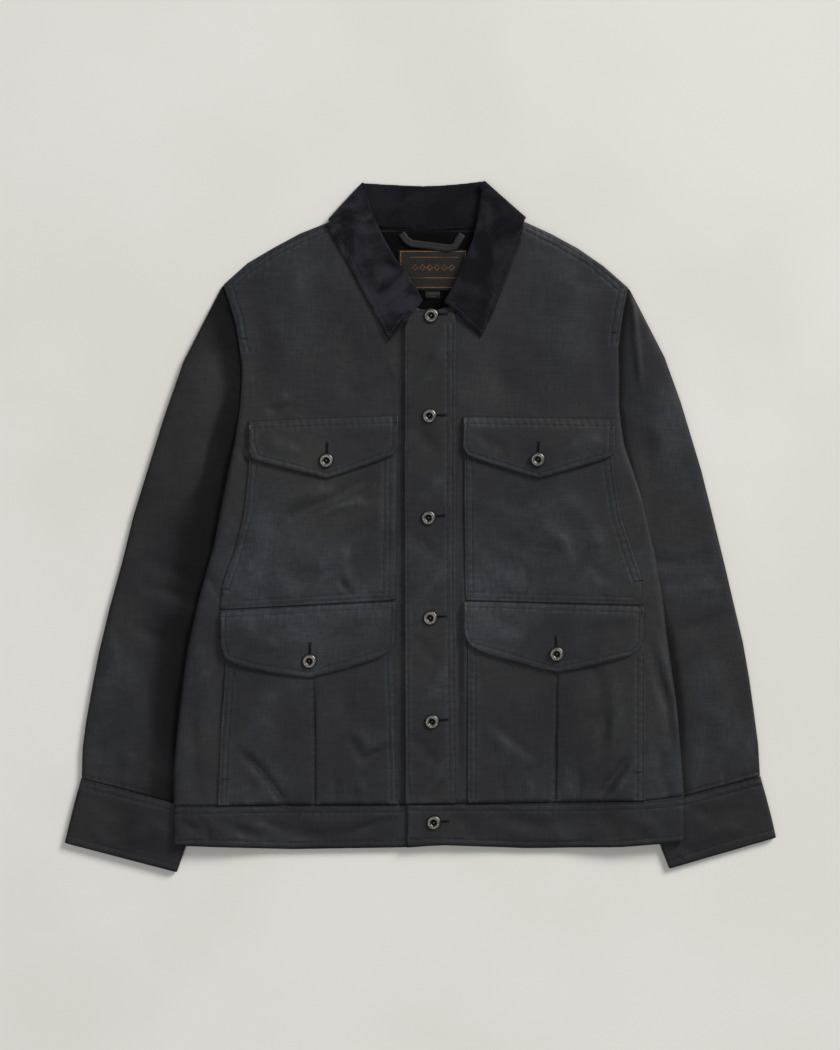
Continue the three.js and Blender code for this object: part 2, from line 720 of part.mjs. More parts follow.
function flapBottom(shape, x) {
  const sideLevel = (edgeX, edgeY) => ({ x: edgeX, y: edgeY - shape.turn });
  const a = sideLevel(shape.leftX, shape.leftY);
  const b = sideLevel(shape.rightX, shape.rightY);
  const point = { x: shape.pointX, y: shape.pointY };
  const bow = 0.06 * shape.round;
  const end = x < point.x ? a : b;
  const t = (x - end.x) / (point.x - end.x);
  const line = mix(end.y, point.y, t) - bow * Math.sin(Math.PI * t) * 1.6;
  const fromSide = Math.abs(x - end.x);
  const corner = fromSide < shape.round
    ? shape.round * 0.75 * (1 - Math.sqrt(1 - (1 - fromSide / shape.round) ** 2))
    : 0;
  return line + corner;
}

function pocketFlap(name, side, shape) {
  const width = shape.rightX - shape.leftX;
  const pointShare = (shape.pointX - shape.leftX) / width;
  const uSteps = [0, 0.015, 0.04, 0.08, 0.15, 0.26, 0.38, pointShare, 0.62, 0.74, 0.85, 0.92, 0.96, 0.985, 1];
  uSteps.sort((p, q) => p - q);
  const grid = [0, 0.27, 0.54, 0.8, 1].map((v) => uSteps.map((u) => {
    const x = mix(shape.leftX, shape.rightX, u);
    const top = mix(shape.leftY, shape.rightY, u) - GAP;
    const y = mix(flapBottom(shape, x), top, v);
    const onPatch = v < 1 ? PATCH + LAID + POCKET_LOFT : 0;
    return { x, y, z: topOf(side, x, y) + LAID + FLAP + onPatch };
  }));
  addPiece(name, wall(grid, lowered(grid, FLAP)), 'cloth');
}

// Collar: folded strips of cord cloth, joined into one piece
function leafTop(x, y) {
  const aboveShoulder = smooth((y - 345) / 40);
  const beforeEdge = x < NECK_CENTRE.x ? smooth((x + 42) / 20) * (1 - smooth((y - 262) / 14)) : 1;
  const onPlacket = (LAID + STRIP) * (1 - smooth((x - 44) / 24));
  const lap = beforeEdge * (overlapRaise(x) + onPlacket);
  return frontTop(x, y) + LAID + CORD_CLOTH + lap - 2.4 * aboveShoulder;
}

// The wall of one folded strip; each station is a list of points on its outer side
function foldedStrip(stations, thickness, flip) {
  return wall(stations, movedIn(stations, thickness, flip));
}

function leafStrip(side) {
  const foldRadius = (2 * CORD_CLOTH + GAP) / 2;
  const turns = [30, 60, 90, 120, 150].map((degrees) => THREE.MathUtils.degToRad(degrees));
  const rows = LEAF[side];
  const line = (v) => {
    const edge = lineAt(rows.map((row) => ({ x: row.edgeX, y: row.edgeY })), v);
    const roll = lineAt(rows.map((row) => ({ x: row.rollX, y: row.rollY })), v);
    return { edge, roll };
  };
  const steps = [0, 0.12, 0.26, 0.42, 0.58, 0.74, 0.88, 1];
  const stations = steps.map((v) => {
    const { edge, roll } = line(v);
    const away = { x: edge.x - roll.x, y: edge.y - roll.y };
    const length = Math.hypot(away.x, away.y);
    const unit = { x: away.x / length, y: away.y / length };
    const at = (distance) => ({ x: roll.x + unit.x * distance, y: roll.y + unit.y * distance });
    const rollTop = leafTop(at(foldRadius).x, at(foldRadius).y);
    const list = [];
    for (const s of shares(4)) {
      const p = at(mix(length, foldRadius, s));
      list.push({ ...p, z: leafTop(p.x, p.y) });
    }
    for (const turn of turns) {
      const p = at(foldRadius - foldRadius * Math.sin(turn));
      list.push({ ...p, z: rollTop - foldRadius + foldRadius * Math.cos(turn) });
    }
    const under = mix(4, STAND_FRONT, smooth(v / 0.2));
    for (const s of [0, 1]) {
      const p = at(mix(foldRadius, under, s));
      list.push({ ...p, z: rollTop - 2 * foldRadius });
    }
    return list;
  });
  return foldedStrip(stations, CORD_CLOTH, side === 'right' ? 1 : -1);
}

function backCollar() {
  const foldRadius = (2 * CORD_CLOTH + GAP) / 2;
  const turns = [30, 60, 90, 120, 150].map((degrees) => THREE.MathUtils.degToRad(degrees));
  const stations = shares(6).map((u) => {
    const x = mix(BACK_COLLAR[0].x, BACK_COLLAR[BACK_COLLAR.length - 1].x, u);
    const topY = valueAt(BACK_COLLAR, 'x', 'topY', x);
    const seamY = valueAt(BACK_COLLAR, 'x', 'seamY', x);
    const spread = (y) => x + (x - NECK_CENTRE.x) * 0.55 * smooth((topY - y) / (topY - FALL_END_Y));
    const list = [];
    for (const s of shares(3)) {
      const y = mix(seamY, topY - foldRadius, s);
      list.push({ x, y, z: 2 * foldRadius });
    }
    for (const turn of turns) {
      const y = topY - foldRadius + foldRadius * Math.sin(turn);
      list.push({ x, y, z: foldRadius + foldRadius * Math.cos(turn) });
    }
    for (const s of shares(3)) {
      const y = mix(topY - foldRadius, FALL_END_Y, s);
      list.push({ x: spread(y), y, z: 0 });
    }
    return list;
  });
  return foldedStrip(stations, CORD_CLOTH, -1);
}

// The leaf turns round the shoulder here and runs into the fall behind
function turnOver(side) {
  const turns = [0, 30, 60, 90, 120, 150, 180].map((degrees) => THREE.MathUtils.degToRad(degrees));
  const stations = shares(3).map((v) => {
    const p = lineAt(FOLD_EDGE[side], v);
    const first = FOLD_EDGE[side][0];
    const last = FOLD_EDGE[side][2];
    const length = Math.hypot(last.x - first.x, last.y - first.y);
    const unit = {
      x: -outward(side) * Math.abs(last.y - first.y) / length,
      y: -Math.abs(last.x - first.x) / length,
    };
    const at = (distance) => ({ x: p.x + unit.x * distance, y: p.y + unit.y * distance });
    const top = leafTop(at(6).x, at(6).y);
    const radius = top / 2;
    const list = [{ ...at(radius + 5), z: top }];
    for (const turn of turns) {
      list.push({ ...at(radius - radius * Math.sin(turn)), z: radius + radius * Math.cos(turn) });
    }
    list.push({ ...at(radius + 9), z: 0 });
    return list;
  });
  return foldedStrip(stations, CORD_CLOTH, side === 'right' ? 1 : -1);
}

function solid(geometry) {
  const at = geometry.getAttribute('position');
  return new wasm.Manifold(new wasm.Mesh({
    numProp: 3,
    vertProperties: new Float32Array(at.array),
    triVerts: new Uint32Array(geometry.getIndex().array),
  }));
}

function collar() {
  let joined = solid(backCollar());
  for (const side of ['right', 'left']) {
    joined = joined.add(solid(leafStrip(side))).add(solid(turnOver(side)));
  }
  const shells = joined.decompose();
  const outside = shells.reduce((best, shell) => (shell.volume() > best.volume() ? shell : best));
  const mesh = outside.getMesh();
  const positions = Array.from(mesh.vertProperties);
  addPiece('collar', closedMesh(positions, Array.from(mesh.triVerts)), 'cord');
}

// Inside of the neck: lining, hanger loop, label and size tab
function neckInside() {
  const facingTop = (x, y) => backUnder(x, y) + PANEL + LAID + 1;
  const slab = (name, finish, thickness, cols, rows, pointAt) => {
    const grid = shares(rows).map((v) => shares(cols).map((u) => pointAt(u, v)));
    addPiece(name, wall(grid, lowered(grid, thickness)), finish);
  };
  slab('neck_facing', 'lining', 1, 8, 8, (u, v) => {
    const x = mix(-50, 64, u);
    const y = mix(236, 331, v);
    return { x, y, z: facingTop(x, y) };
  });
  slab('neck_label', 'label', 0.8, 6, 4, (u, v) => {
    const x = mix(-25, 53, u);
    const y = mix(265, 310, v);
    return { x, y, z: facingTop(x, y) + LAID + 0.8 };
  });
  slab('size_tab', 'label', 0.7, 1, 2, (u, v) => {
    const x = mix(5, 22, u);
    const y = mix(256, 264, v);
    return { x, y, z: facingTop(x, y) + LAID + 0.7 };
  });
  const route = [{ x: -21, y: 329 }, { x: -14, y: 318 }, { x: 37, y: 311.5 }, { x: 47, y: 328 }];
  const half = 4;
  slab('hanger_loop', 'cloth', STRIP, 10, 2, (u, v) => {
    const p = lineAt(route, u);
    const before = lineAt(route, u - 0.12);
    const after = lineAt(route, u + 0.12);
    const length = Math.hypot(after.x - before.x, after.y - before.y);
    const offset = mix(-half, half, v);
    const x = p.x - (after.y - before.y) / length * offset;
    const y = p.y + (after.x - before.x) / length * offset;
    // its ends are sewn down on the facing, and its middle lies on the label
    const climb = (LAID + 0.8) * Math.min(1, u / 0.14, (1 - u) / 0.14);
    return { x, y, z: facingTop(x, y) + climb + GAP + STRIP };
  });
}

// Buttons: a pressed metal cap with a raised rim and a small rivet in its hollow
function button(name, x, y, seat) {
  const profile = [
    { r: 0, z: 0 }, { r: 7.4, z: 0 }, { r: BUTTON_RADIUS, z: 1.2 }, { r: 7.2, z: 2.6 },
    { r: 5.2, z: 2.7 }, { r: 3.4, z: 1.4 }, { r: 1.4, z: 1.4 }, { r: 0, z: 2.2 },
  ];
  const points = profile.map((p) => new THREE.Vector2(p.r, p.z));
  const geometry = new THREE.LatheGeometry(points, 12);
  geometry.rotateX(Math.PI / 2);
  const mesh = addPiece(name, geometry, 'metal');
  mesh.position.set(x, y, seat);
}

function buttons() {
  const under = (height, x, y) => {
    const around = shares(8).map((s) => s * 2 * Math.PI);
    const reach = BUTTON_RADIUS;
    return Math.max(...around.map((a) => height(x + reach * Math.cos(a), y + reach * Math.sin(a))));
  };
  FRONT_BUTTONS.forEach((p, i) => {
    const onBand = i === FRONT_BUTTONS.length - 1;
    const rise = onBand ? BAND - PANEL + LAID : 2 * LAID + STRIP;
    button(`button_front_${i + 1}`, p.x, p.y, under(overFrontTop, p.x, p.y) + rise);
  });
  for (const side of ['right', 'left']) {
    for (const kind of ['chest', 'lower']) {
      const p = POCKET_BUTTONS[kind][side];
      const height = (x, y) => topOf(side, x, y);
      const rise = 3 * LAID + PATCH + POCKET_LOFT + FLAP;
      button(`button_${kind}_${side}`, p.x, p.y, under(height, p.x, p.y) + rise);
    }
  }
}

backPanel();
for (const side of ['right', 'left']) {
  const top = (x, y) => sleeveTop(side, x, y);
  frontPanel(side);
  tube(`sleeve_${side}`, SLEEVE[side], top, PANEL);
  tube(`cuff_${side}`, CUFF[side], () => SLEEVE_TOP, BAND);
  pocketPatch(`chest_patch_${side}`, side, CHEST_PATCH[side], 0.5);
  pocketFlap(`chest_flap_${side}`, side, CHEST_FLAP[side]);
  pocketPatch(`lower_patch_${side}`, side, LOWER_PATCH[side], 1, PLEAT_X[side]);
  pocketFlap(`lower_flap_${side}`, side, LOWER_FLAP[side]);
}
placket();
waistband();
collar();
neckInside();
buttons();

// The whole is centred over its own footprint
const bounds = new THREE.Box3().setFromObject(part);
const centre = bounds.getCenter(new THREE.Vector3());
for (const mesh of part.children) {
  mesh.position.x -= centre.x;
  mesh.position.y -= centre.y;
  mesh.position.z -= bounds.min.z;
}

export default part;
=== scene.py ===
import math

import bmesh
import bpy
import numpy as np
from mathutils import Matrix, Vector
from mathutils.bvhtree import BVHTree


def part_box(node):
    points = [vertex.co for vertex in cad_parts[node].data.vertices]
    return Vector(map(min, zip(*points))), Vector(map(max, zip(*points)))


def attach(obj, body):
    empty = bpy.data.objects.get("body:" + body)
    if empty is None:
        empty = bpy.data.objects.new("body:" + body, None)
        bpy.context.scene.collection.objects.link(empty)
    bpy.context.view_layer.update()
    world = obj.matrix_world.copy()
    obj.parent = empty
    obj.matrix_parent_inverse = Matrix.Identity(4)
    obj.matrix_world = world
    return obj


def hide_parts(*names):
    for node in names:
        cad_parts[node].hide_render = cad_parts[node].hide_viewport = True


# The jacket's solids are the frame. They lie front up, at their real size, and every piece below is
# dressed in the place of its own solid.
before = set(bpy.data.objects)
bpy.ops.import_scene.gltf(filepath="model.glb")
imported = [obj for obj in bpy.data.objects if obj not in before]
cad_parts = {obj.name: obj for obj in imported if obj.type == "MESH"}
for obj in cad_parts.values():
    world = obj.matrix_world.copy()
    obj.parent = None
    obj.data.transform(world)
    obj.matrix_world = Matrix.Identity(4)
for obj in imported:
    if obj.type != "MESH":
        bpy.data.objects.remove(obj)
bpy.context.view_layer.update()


# Back panel and the two fronts
# The body of a work jacket: one back and two fronts of waxed cotton drill, about 2 mm thick with its
# lining. They are cut flat, joined at the shoulders and sides, and lie here with the front on top.
MM = 0.001
DRILL_CELL = 4.2 * MM
SEAM_CELL = 1.5 * MM
UNDER_HALF = 2.6 * MM
CREASE_DEPTH = 1.35
PIECES = {}


def cut_piece(node, cell=DRILL_CELL, seams=(), melt=7):
    """A copy of a solid's wall, merged and cut finer, finest along its seams, with its facets melted."""
    cloth = bmesh.new()
    cloth.from_mesh(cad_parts[node].data)
    bmesh.ops.remove_doubles(cloth, verts=cloth.verts, dist=1e-6)
    bmesh.ops.join_triangles(
        cloth,
        faces=cloth.faces,
        angle_face_threshold=0.5,
        angle_shape_threshold=0.9,
    )
    for _ in range(6):
        long_edges = [edge for edge in cloth.edges if edge.calc_length() > cell * 1.35]
        if not long_edges:
            break
        bmesh.ops.subdivide_edges(cloth, edges=long_edges, cuts=1, use_grid_fill=True)
    cloth.normal_update()
    off_rim = [vert for vert in cloth.verts if all(abs(face.normal.z) > 0.5 for face in vert.link_faces)]
    for _ in range(melt):
        bmesh.ops.smooth_vert(
            cloth,
            verts=off_rim,
            factor=0.5,
            use_axis_x=False,
            use_axis_y=False,
            use_axis_z=True,
        )
    for reach in (4.2 * MM, 3.0 * MM) if seams else ():
        centres = np.array([edge.verts[0].co.xy.lerp(edge.verts[1].co.xy, 0.5)[:] for edge in cloth.edges])
        near = seam_distance(centres, seams) < reach
        seam_edges = [
            edge
            for edge, close in zip(cloth.edges, near)
            if close and edge.calc_length() > SEAM_CELL and max(v.co.z for v in edge.verts) > UNDER_HALF
        ]
        bmesh.ops.subdivide_edges(cloth, edges=seam_edges, cuts=1, use_grid_fill=True)
    bmesh.ops.triangulate(cloth, faces=[face for face in cloth.faces if len(face.verts) > 4])
    mesh = bpy.data.meshes.new(node + "_cloth")
    cloth.to_mesh(mesh)
    cloth.free()
    mesh.polygons.foreach_set("use_smooth", [True] * len(mesh.polygons))
    piece = bpy.data.objects.new(node + "_cloth", mesh)
    bpy.context.collection.objects.link(piece)
    PIECES[node] = piece
    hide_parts(node)
    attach(piece, "root")
    return piece


def seam_distance(points, lines):
    """How far each point (x, y) lies from the nearest of the lines, which are in millimetres."""
    nearest = np.full(len(points), 1e9)
    for line in lines:
        ends = np.array(line, float) * MM
        for a, b in zip(ends[:-1], ends[1:]):
            along = b - a
            share = np.clip((points - a) @ along / max(along @ along, 1e-12), 0, 1)
            gap = np.linalg.norm(points - a - share[:, None] * along, axis=1)
            nearest = np.minimum(nearest, gap)
    return nearest


def crease_height(points, creases):
    """The rise or dip that the creases give to each point: soft across, dying away at both ends."""
    rise = np.zeros(len(points))
    for crease in creases:
        ends = np.array(crease["line"], float) * MM
        steps = np.linalg.norm(np.diff(ends, axis=0), axis=1)
        starts = np.concatenate([[0], np.cumsum(steps)])
        best = np.full(len(points), 1e9)
        place = np.zeros(len(points))
        for i, (a, b) in enumerate(zip(ends[:-1], ends[1:])):
            along = b - a
            share = np.clip((points - a) @ along / (along @ along), 0, 1)
            gap = np.linalg.norm(points - a - share[:, None] * along, axis=1)
            closer = gap < best
            best = np.where(closer, gap, best)
            place = np.where(closer, (starts[i] + share * steps[i]) / starts[-1], place)
        swell = 1 + 0.25 * np.sin(place * 11 + crease["line"][0][0])
        fade = np.clip(np.sin(np.pi * np.clip(place, 0.02, 0.98)), 0, 1) ** 0.7
        width = crease["width"] * MM * (0.55 + 0.45 * fade)
        rise += CREASE_DEPTH * crease["height"] * MM * swell * fade * np.exp(-((best / width) ** 2))
    return rise


def read_points(piece):
    points = np.empty(len(piece.data.vertices) * 3)
    piece.data.vertices.foreach_get("co", points)
    return points.reshape(-1, 3)


def write_points(piece, points):
    piece.data.vertices.foreach_set("co", points.ravel())
    piece.data.update()


def crease(pieces, creases, from_z=UNDER_HALF):
    """Lifts or sinks the upper cloth of the pieces along the creases. The cloth beneath stays flat."""
    for piece in pieces:
        points = read_points(piece)
        upper = np.clip((points[:, 2] - from_z) / (1.2 * MM), 0, 1)
        points[:, 2] += crease_height(points[:, :2], creases) * upper
        write_points(piece, points)


# Rows are (line, half width, height), in millimetres: height above 0 is a ridge, below 0 a trough.
def crease_rows(rows):
    return [{"line": line, "width": width, "height": height} for line, width, height in rows]


ARMHOLE_RIGHT = [(-219.9, 271.0), (-214.3, 250.3), (-207.6, 231.8), (-204.9, 211.7), (-200.9, 194.9), (-199.8, 177.0), (-201.3, 149.0), (-202.8, 129.9), (-207.6, 96.3)]
ARMHOLE_LEFT = [(233.1, 266.6), (228.1, 245.3), (224.5, 223.3), (222.2, 205.0), (223.3, 170.2), (222.2, 133.8), (225.3, 116.5), (226.6, 96.3)]
SHOULDER_RIGHT = [(-106.8, 340.5), (-134.8, 329.3), (-168.4, 312.5), (-197.5, 292.9), (-217.7, 274.4)]
SHOULDER_LEFT = [(122.8, 340.5), (156.4, 323.7), (190.0, 304.6), (212.4, 286.7), (230.3, 271.0)]


def beside(line, away):
    """A line run beside another one at a distance in millimetres, to its left where away is above 0."""
    points = [Vector(p) for p in line]
    moved = []
    for i, point in enumerate(points):
        before = points[max(0, i - 1)]
        after = points[min(len(points) - 1, i + 1)]
        along = (after - before).normalized()
        moved.append((point.x - along.y * away, point.y + along.x * away))
    return moved


BODY_SEAMS = {
    "front_right": [
        beside(ARMHOLE_RIGHT[:5], 2.5),
        beside(ARMHOLE_RIGHT[:5], 9),
        beside(SHOULDER_RIGHT, 5.5),
        beside(SHOULDER_RIGHT, 11),
    ],
    "front_left": [
        beside(ARMHOLE_LEFT[:4], -2.5),
        beside(ARMHOLE_LEFT[:4], -9),
        beside(SHOULDER_LEFT, -5.5),
        beside(SHOULDER_LEFT, -11),
    ],
}
BODY_CREASES = crease_rows(
    [
        ([(-177.4, 132.2), (-157.2, 129.9), (-134.8, 136.6)], 6, -1.6),
        ([(-168.4, 143.4), (-143.8, 141.1)], 7, 1.2),
        ([(-206.5, 88.5), (-194.2, 76.2), (-177.4, 71.7)], 4, -1.4),
        ([(-246.8, -49.3), (-233.4, -62.7), (-225.5, -78.4)], 5, -1.6),
        ([(-251.3, -127.7), (-240.1, -183.7), (-243.4, -239.7)], 11, 1.6),
        ([(-260.2, -194.9), (-253.5, -250.9), (-251.3, -306.9)], 8, -1.4),
        ([(253.8, -124.3), (266.2, -163.5), (276.2, -200.5), (281.8, -253.1)], 6, -2.8),
        ([(261.7, -118.7), (272.9, -159.0), (284.1, -199.4), (289.7, -248.6)], 6, 1.6),
        ([(262.8, -239.7), (270.6, -278.9), (277.4, -304.6)], 6, -1.4),
        ([(-134.8, 309.1), (-143.8, 253.1), (-134.8, 185.9)], 26, 1.8),
        ([(-76.6, 219.5), (-84.4, 174.7), (-67.6, 135.5)], 18, -1.2),
        ([(156.4, 297.9), (163.1, 230.7), (151.9, 163.5)], 28, 1.8),
        ([(94.8, 219.5), (87.0, 174.7), (100.4, 135.5)], 16, -1.2),
        ([(241.5, 79.5), (250.5, 29.1), (259.4, -15.7)], 8, 1.4),
        ([(-184.1, 253.1), (-177.4, 197.1), (-184.1, 141.1)], 12, -1.2),
        ([(204.6, 253.1), (199.0, 197.1), (205.7, 138.9)], 12, -1.1),
    ]
)
def pull_down(pieces, rows, depth=0.4, pucker=0.1):
    """The pull of a sewn row: a fine groove under the thread, and small puckers either side of it."""
    for piece in pieces:
        points = read_points(piece)
        upper = points[:, 2] > UNDER_HALF
        gap = seam_distance(points[:, :2], rows)
        drop = depth * MM * np.exp(-((gap / (1.5 * MM)) ** 2))
        x, y = points[:, 0] / MM, points[:, 1] / MM
        ripple = np.sin(x * 0.78 + 2.1 * np.sin(y * 0.11)) + np.sin(y * 0.74 + 2.3 * np.sin(x * 0.13))
        drop += pucker * MM * ripple * np.exp(-((gap / (5.5 * MM)) ** 2))
        points[:, 2] -= drop * upper
        write_points(piece, points)


BACK_CREASES = crease_rows(
    [
        ([(-150, 250), (-90, 180), (-70, 90)], 12, 0.8),
        ([(160, 240), (110, 170), (95, 60)], 12, 0.8),
        ([(-60, 20), (-20, -70), (-40, -180)], 14, 0.9),
        ([(110, -40), (70, -130), (90, -240)], 12, 0.8),
        ([(-180, -80), (-150, -170), (-170, -260)], 10, 0.7),
        ([(10, 200), (16, 120), (4, 40)], 16, 0.7),
    ]
)

front_right = cut_piece("front_right", seams=BODY_SEAMS["front_right"])
front_left = cut_piece("front_left", seams=BODY_SEAMS["front_left"])
back_panel = cut_piece("back_panel", cell=5 * MM)
crease([front_right, front_left], BODY_CREASES)


def crease_underside(piece, creases):
    """Presses shallow creases up into the side that lies on the surface."""
    points = read_points(piece)
    lower = np.clip((UNDER_HALF - points[:, 2]) / (1.0 * MM), 0, 1)
    points[:, 2] += crease_height(points[:, :2], creases) * lower
    points[:, 2] = np.maximum(points[:, 2], 0.0)
    write_points(piece, points)


crease_underside(back_panel, BACK_CREASES)


def new_effect(name, inputs, outputs):
    """An empty shader node group with named inputs (label, kind, value) and outputs (label, kind)."""
    group = bpy.data.node_groups.new(name, "ShaderNodeTree")
    for label, kind, value in inputs:
        group.interface.new_socket(label, in_out="INPUT", socket_type=kind).default_value = value
    for label, kind in outputs:
        group.interface.new_socket(label, in_out="OUTPUT", socket_type=kind)
    return group, group.nodes.new("NodeGroupInput"), group.nodes.new("NodeGroupOutput")


def add_node(tree, kind, **settings):
    """A shader node with its settings, and its sockets where the name is one of its inputs."""
    node = tree.nodes.new(kind)
    for name, value in settings.items():
        label = name.replace("_", " ").title()
        if hasattr(node, name):
            setattr(node, name, value)
        elif label in node.inputs:
            node.inputs[label].default_value = value
        else:
            node.inputs[name].default_value = value
    return node


def noise(tree, place, scale, detail=2.0, roughness=0.5, distortion=0.0):
    made = add_node(tree, "ShaderNodeTexNoise", scale=scale, detail=detail, distortion=distortion)
    made.inputs["Roughness"].default_value = roughness
    tree.links.new(place, made.inputs["Vector"])
    return made.outputs["Fac"]


def threads(tree, place, direction, pitch):
    """Fine parallel bands, one for each thread, rib or line, at a pitch in metres."""
    made = add_node(tree, "ShaderNodeTexWave", wave_type="BANDS", bands_direction=direction)
    made.inputs["Scale"].default_value = 2 * math.pi / (20 * pitch)
    tree.links.new(place, made.inputs["Vector"])
    return made.outputs["Fac"]


def between(tree, value, low, high, out_low=0.0, out_high=1.0):
    made = add_node(tree, "ShaderNodeMapRange", interpolation_type="SMOOTHSTEP")
    made.inputs["From Min"].default_value = low
    made.inputs["From Max"].default_value = high
    made.inputs["To Min"].default_value = out_low
    made.inputs["To Max"].default_value = out_high
    tree.links.new(value, made.inputs["Value"])
    return made.outputs["Result"]


def maths(tree, operation, first, second):
    made = add_node(tree, "ShaderNodeMath", operation=operation)
    for socket, value in zip(made.inputs, (first, second)):
        if isinstance(value, (int, float)):
            socket.default_value = value
        else:
            tree.links.new(value, socket)
    return made.outputs["Value"]


def mixed(tree, share, first, second, blend="MIX"):
    """Two colours mixed by a share, each a socket or a colour of four numbers."""
    made = add_node(tree, "ShaderNodeMix", data_type="RGBA", blend_type=blend)
    for socket, value in zip((made.inputs[0], made.inputs[6], made.inputs[7]), (share, first, second)):
        if isinstance(value, (int, float, tuple)):
            socket.default_value = value
        else:
            tree.links.new(value, socket)
    return made.outputs[2]


def turned(tree, place, degrees):
    made = add_node(tree, "ShaderNodeMapping")
    made.inputs["Rotation"].default_value = (0, 0, math.radians(degrees))
    tree.links.new(place, made.inputs["Vector"])
    return made.outputs["Vector"]


def attribute(tree, name):
    return add_node(tree, "ShaderNodeAttribute", attribute_name=name).outputs["Fac"]


def srgb(red, green, blue):
    """A colour as read off a screen, 0 to 255, as the linear colour that a shader takes."""
    linear = [(c / 255 / 12.92) if c <= 10 else ((c / 255 + 0.055) / 1.055) ** 2.4 for c in (red, green, blue)]
    return (*linear, 1.0)


# Waxed drill: slate blue yarn, browned where wax lies thick, teal and pale where it has rubbed thin;
# darkened and made rougher where the mask is below 0, as painted shade
def waxed_drill_effect():
    group, given, out = new_effect(
        "waxed drill",
        [
            ("Bare Cloth", "NodeSocketColor", srgb(25, 25, 32)),
            ("Wax", "NodeSocketColor", srgb(28, 27, 26)),
            ("Rubbed", "NodeSocketColor", srgb(38, 44, 50)),
            ("Grain Turn", "NodeSocketFloat", 0.0),
        ],
        [("Color", "NodeSocketColor"), ("Roughness", "NodeSocketFloat"), ("Height", "NodeSocketFloat")],
    )
    place = group.nodes.new("ShaderNodeTexCoord").outputs["Object"]
    clouds = noise(group, place, 6.5, 3.0, 0.55, 0.6)
    smears = noise(group, place, 21.0, 4.0, 0.6, 0.4)
    specks = noise(group, place, 160.0, 3.0, 0.6)
    slub = noise(group, stretched(group, place, (60.0, 900.0, 60.0)), 1.0, 2.0)
    slub_across = noise(group, stretched(group, place, (900.0, 60.0, 60.0)), 1.0, 2.0)
    wax_share = between(group, maths(group, "ADD", clouds, maths(group, "MULTIPLY", smears, 0.35)), 0.54, 0.82)
    wear_and_shade = attribute(group, "wear_and_shade")
    rubbed = maths(group, "MAXIMUM", wear_and_shade, 0.0)
    rubbed_share = maths(group, "MULTIPLY", rubbed, between(group, smears, 0.3, 0.62, 0.35, 1.0))
    # Painted shade: where the mask is below 0 the colour is darkened, down to an eighth at -1.
    painted_shade = between(group, wear_and_shade, 0.0, -1.0, 1.0, 0.12)
    colour = mixed(group, wax_share, given.outputs["Bare Cloth"], given.outputs["Wax"])
    colour = mixed(group, rubbed_share, colour, given.outputs["Rubbed"])
    yarns = maths(group, "ADD", slub, slub_across)
    shade = maths(
        group,
        "ADD",
        between(group, yarns, 0.7, 1.3, 0.66, 1.24),
        between(group, specks, 0.3, 0.7, -0.15, 0.15),
    )
    shade = maths(group, "MULTIPLY", shade, between(group, smears, 0.3, 0.7, 0.8, 1.16))
    shade = maths(group, "MULTIPLY", shade, painted_shade)
    grey = group.nodes.new("ShaderNodeCombineColor")
    for socket in grey.inputs[:3]:
        group.links.new(shade, socket)
    colour = mixed(group, 1.0, colour, grey.outputs["Color"], "MULTIPLY")
    group.links.new(colour, out.inputs["Color"])
    rough = between(group, wax_share, 0.0, 1.0, 0.66, 0.56)
    rough = maths(group, "ADD", rough, between(group, specks, 0.3, 0.7, -0.04, 0.04))
    rough = maths(group, "ADD", rough, between(group, wear_and_shade, 0.0, -0.8, 0.0, 0.4))
    group.links.new(rough, out.inputs["Roughness"])
    twill = threads(group, turned(group, place, 52), "X", 0.9 * MM)
    weft = threads(group, place, "Y", 0.55 * MM)
    height = maths(group, "ADD", maths(group, "MULTIPLY", twill, 0.5), maths(group, "MULTIPLY", weft, 0.3))
    height = maths(group, "ADD", height, maths(group, "MULTIPLY", yarns, 1.1))
    height = maths(group, "ADD", height, maths(group, "MULTIPLY", specks, 1.6))
    group.links.new(height, out.inputs["Height"])
    return group


def stretched(tree, place, scale):
    made = add_node(tree, "ShaderNodeMapping")
    made.inputs["Scale"].default_value = scale
    tree.links.new(place, made.inputs["Vector"])
    return made.outputs["Vector"]


WAXED_DRILL = waxed_drill_effect()


def surface_material(name, effect, bump_mm, specular=0.3, sheen=0.0, metallic=0.0, **values):
    """A material whose colour, roughness and relief come from an effect, and whose shader is its own."""
    material = bpy.data.materials.new(name)
    material.use_nodes = True
    tree = material.node_tree
    shader = tree.nodes["Principled BSDF"]
    shader.inputs["Specular IOR Level"].default_value = specular
    shader.inputs["Sheen Weight"].default_value = sheen
    shader.inputs["Sheen Roughness"].default_value = 0.45
    shader.inputs["Metallic"].default_value = metallic
    group = add_node(tree, "ShaderNodeGroup", node_tree=effect)
    for label, value in values.items():
        group.inputs[label.replace("_", " ").title()].default_value = value
    tree.links.new(group.outputs["Color"], shader.inputs["Base Color"])
    tree.links.new(group.outputs["Roughness"], shader.inputs["Roughness"])
    bump = add_node(tree, "ShaderNodeBump")
    bump.inputs["Strength"].default_value = 1.0
    bump.inputs["Distance"].default_value = bump_mm * MM
    tree.links.new(group.outputs["Height"], bump.inputs["Height"])
    tree.links.new(bump.outputs["Normal"], shader.inputs["Normal"])
    return material


body_cloth = surface_material("waxed_cloth_body", WAXED_DRILL, 0.05, sheen=0.04)
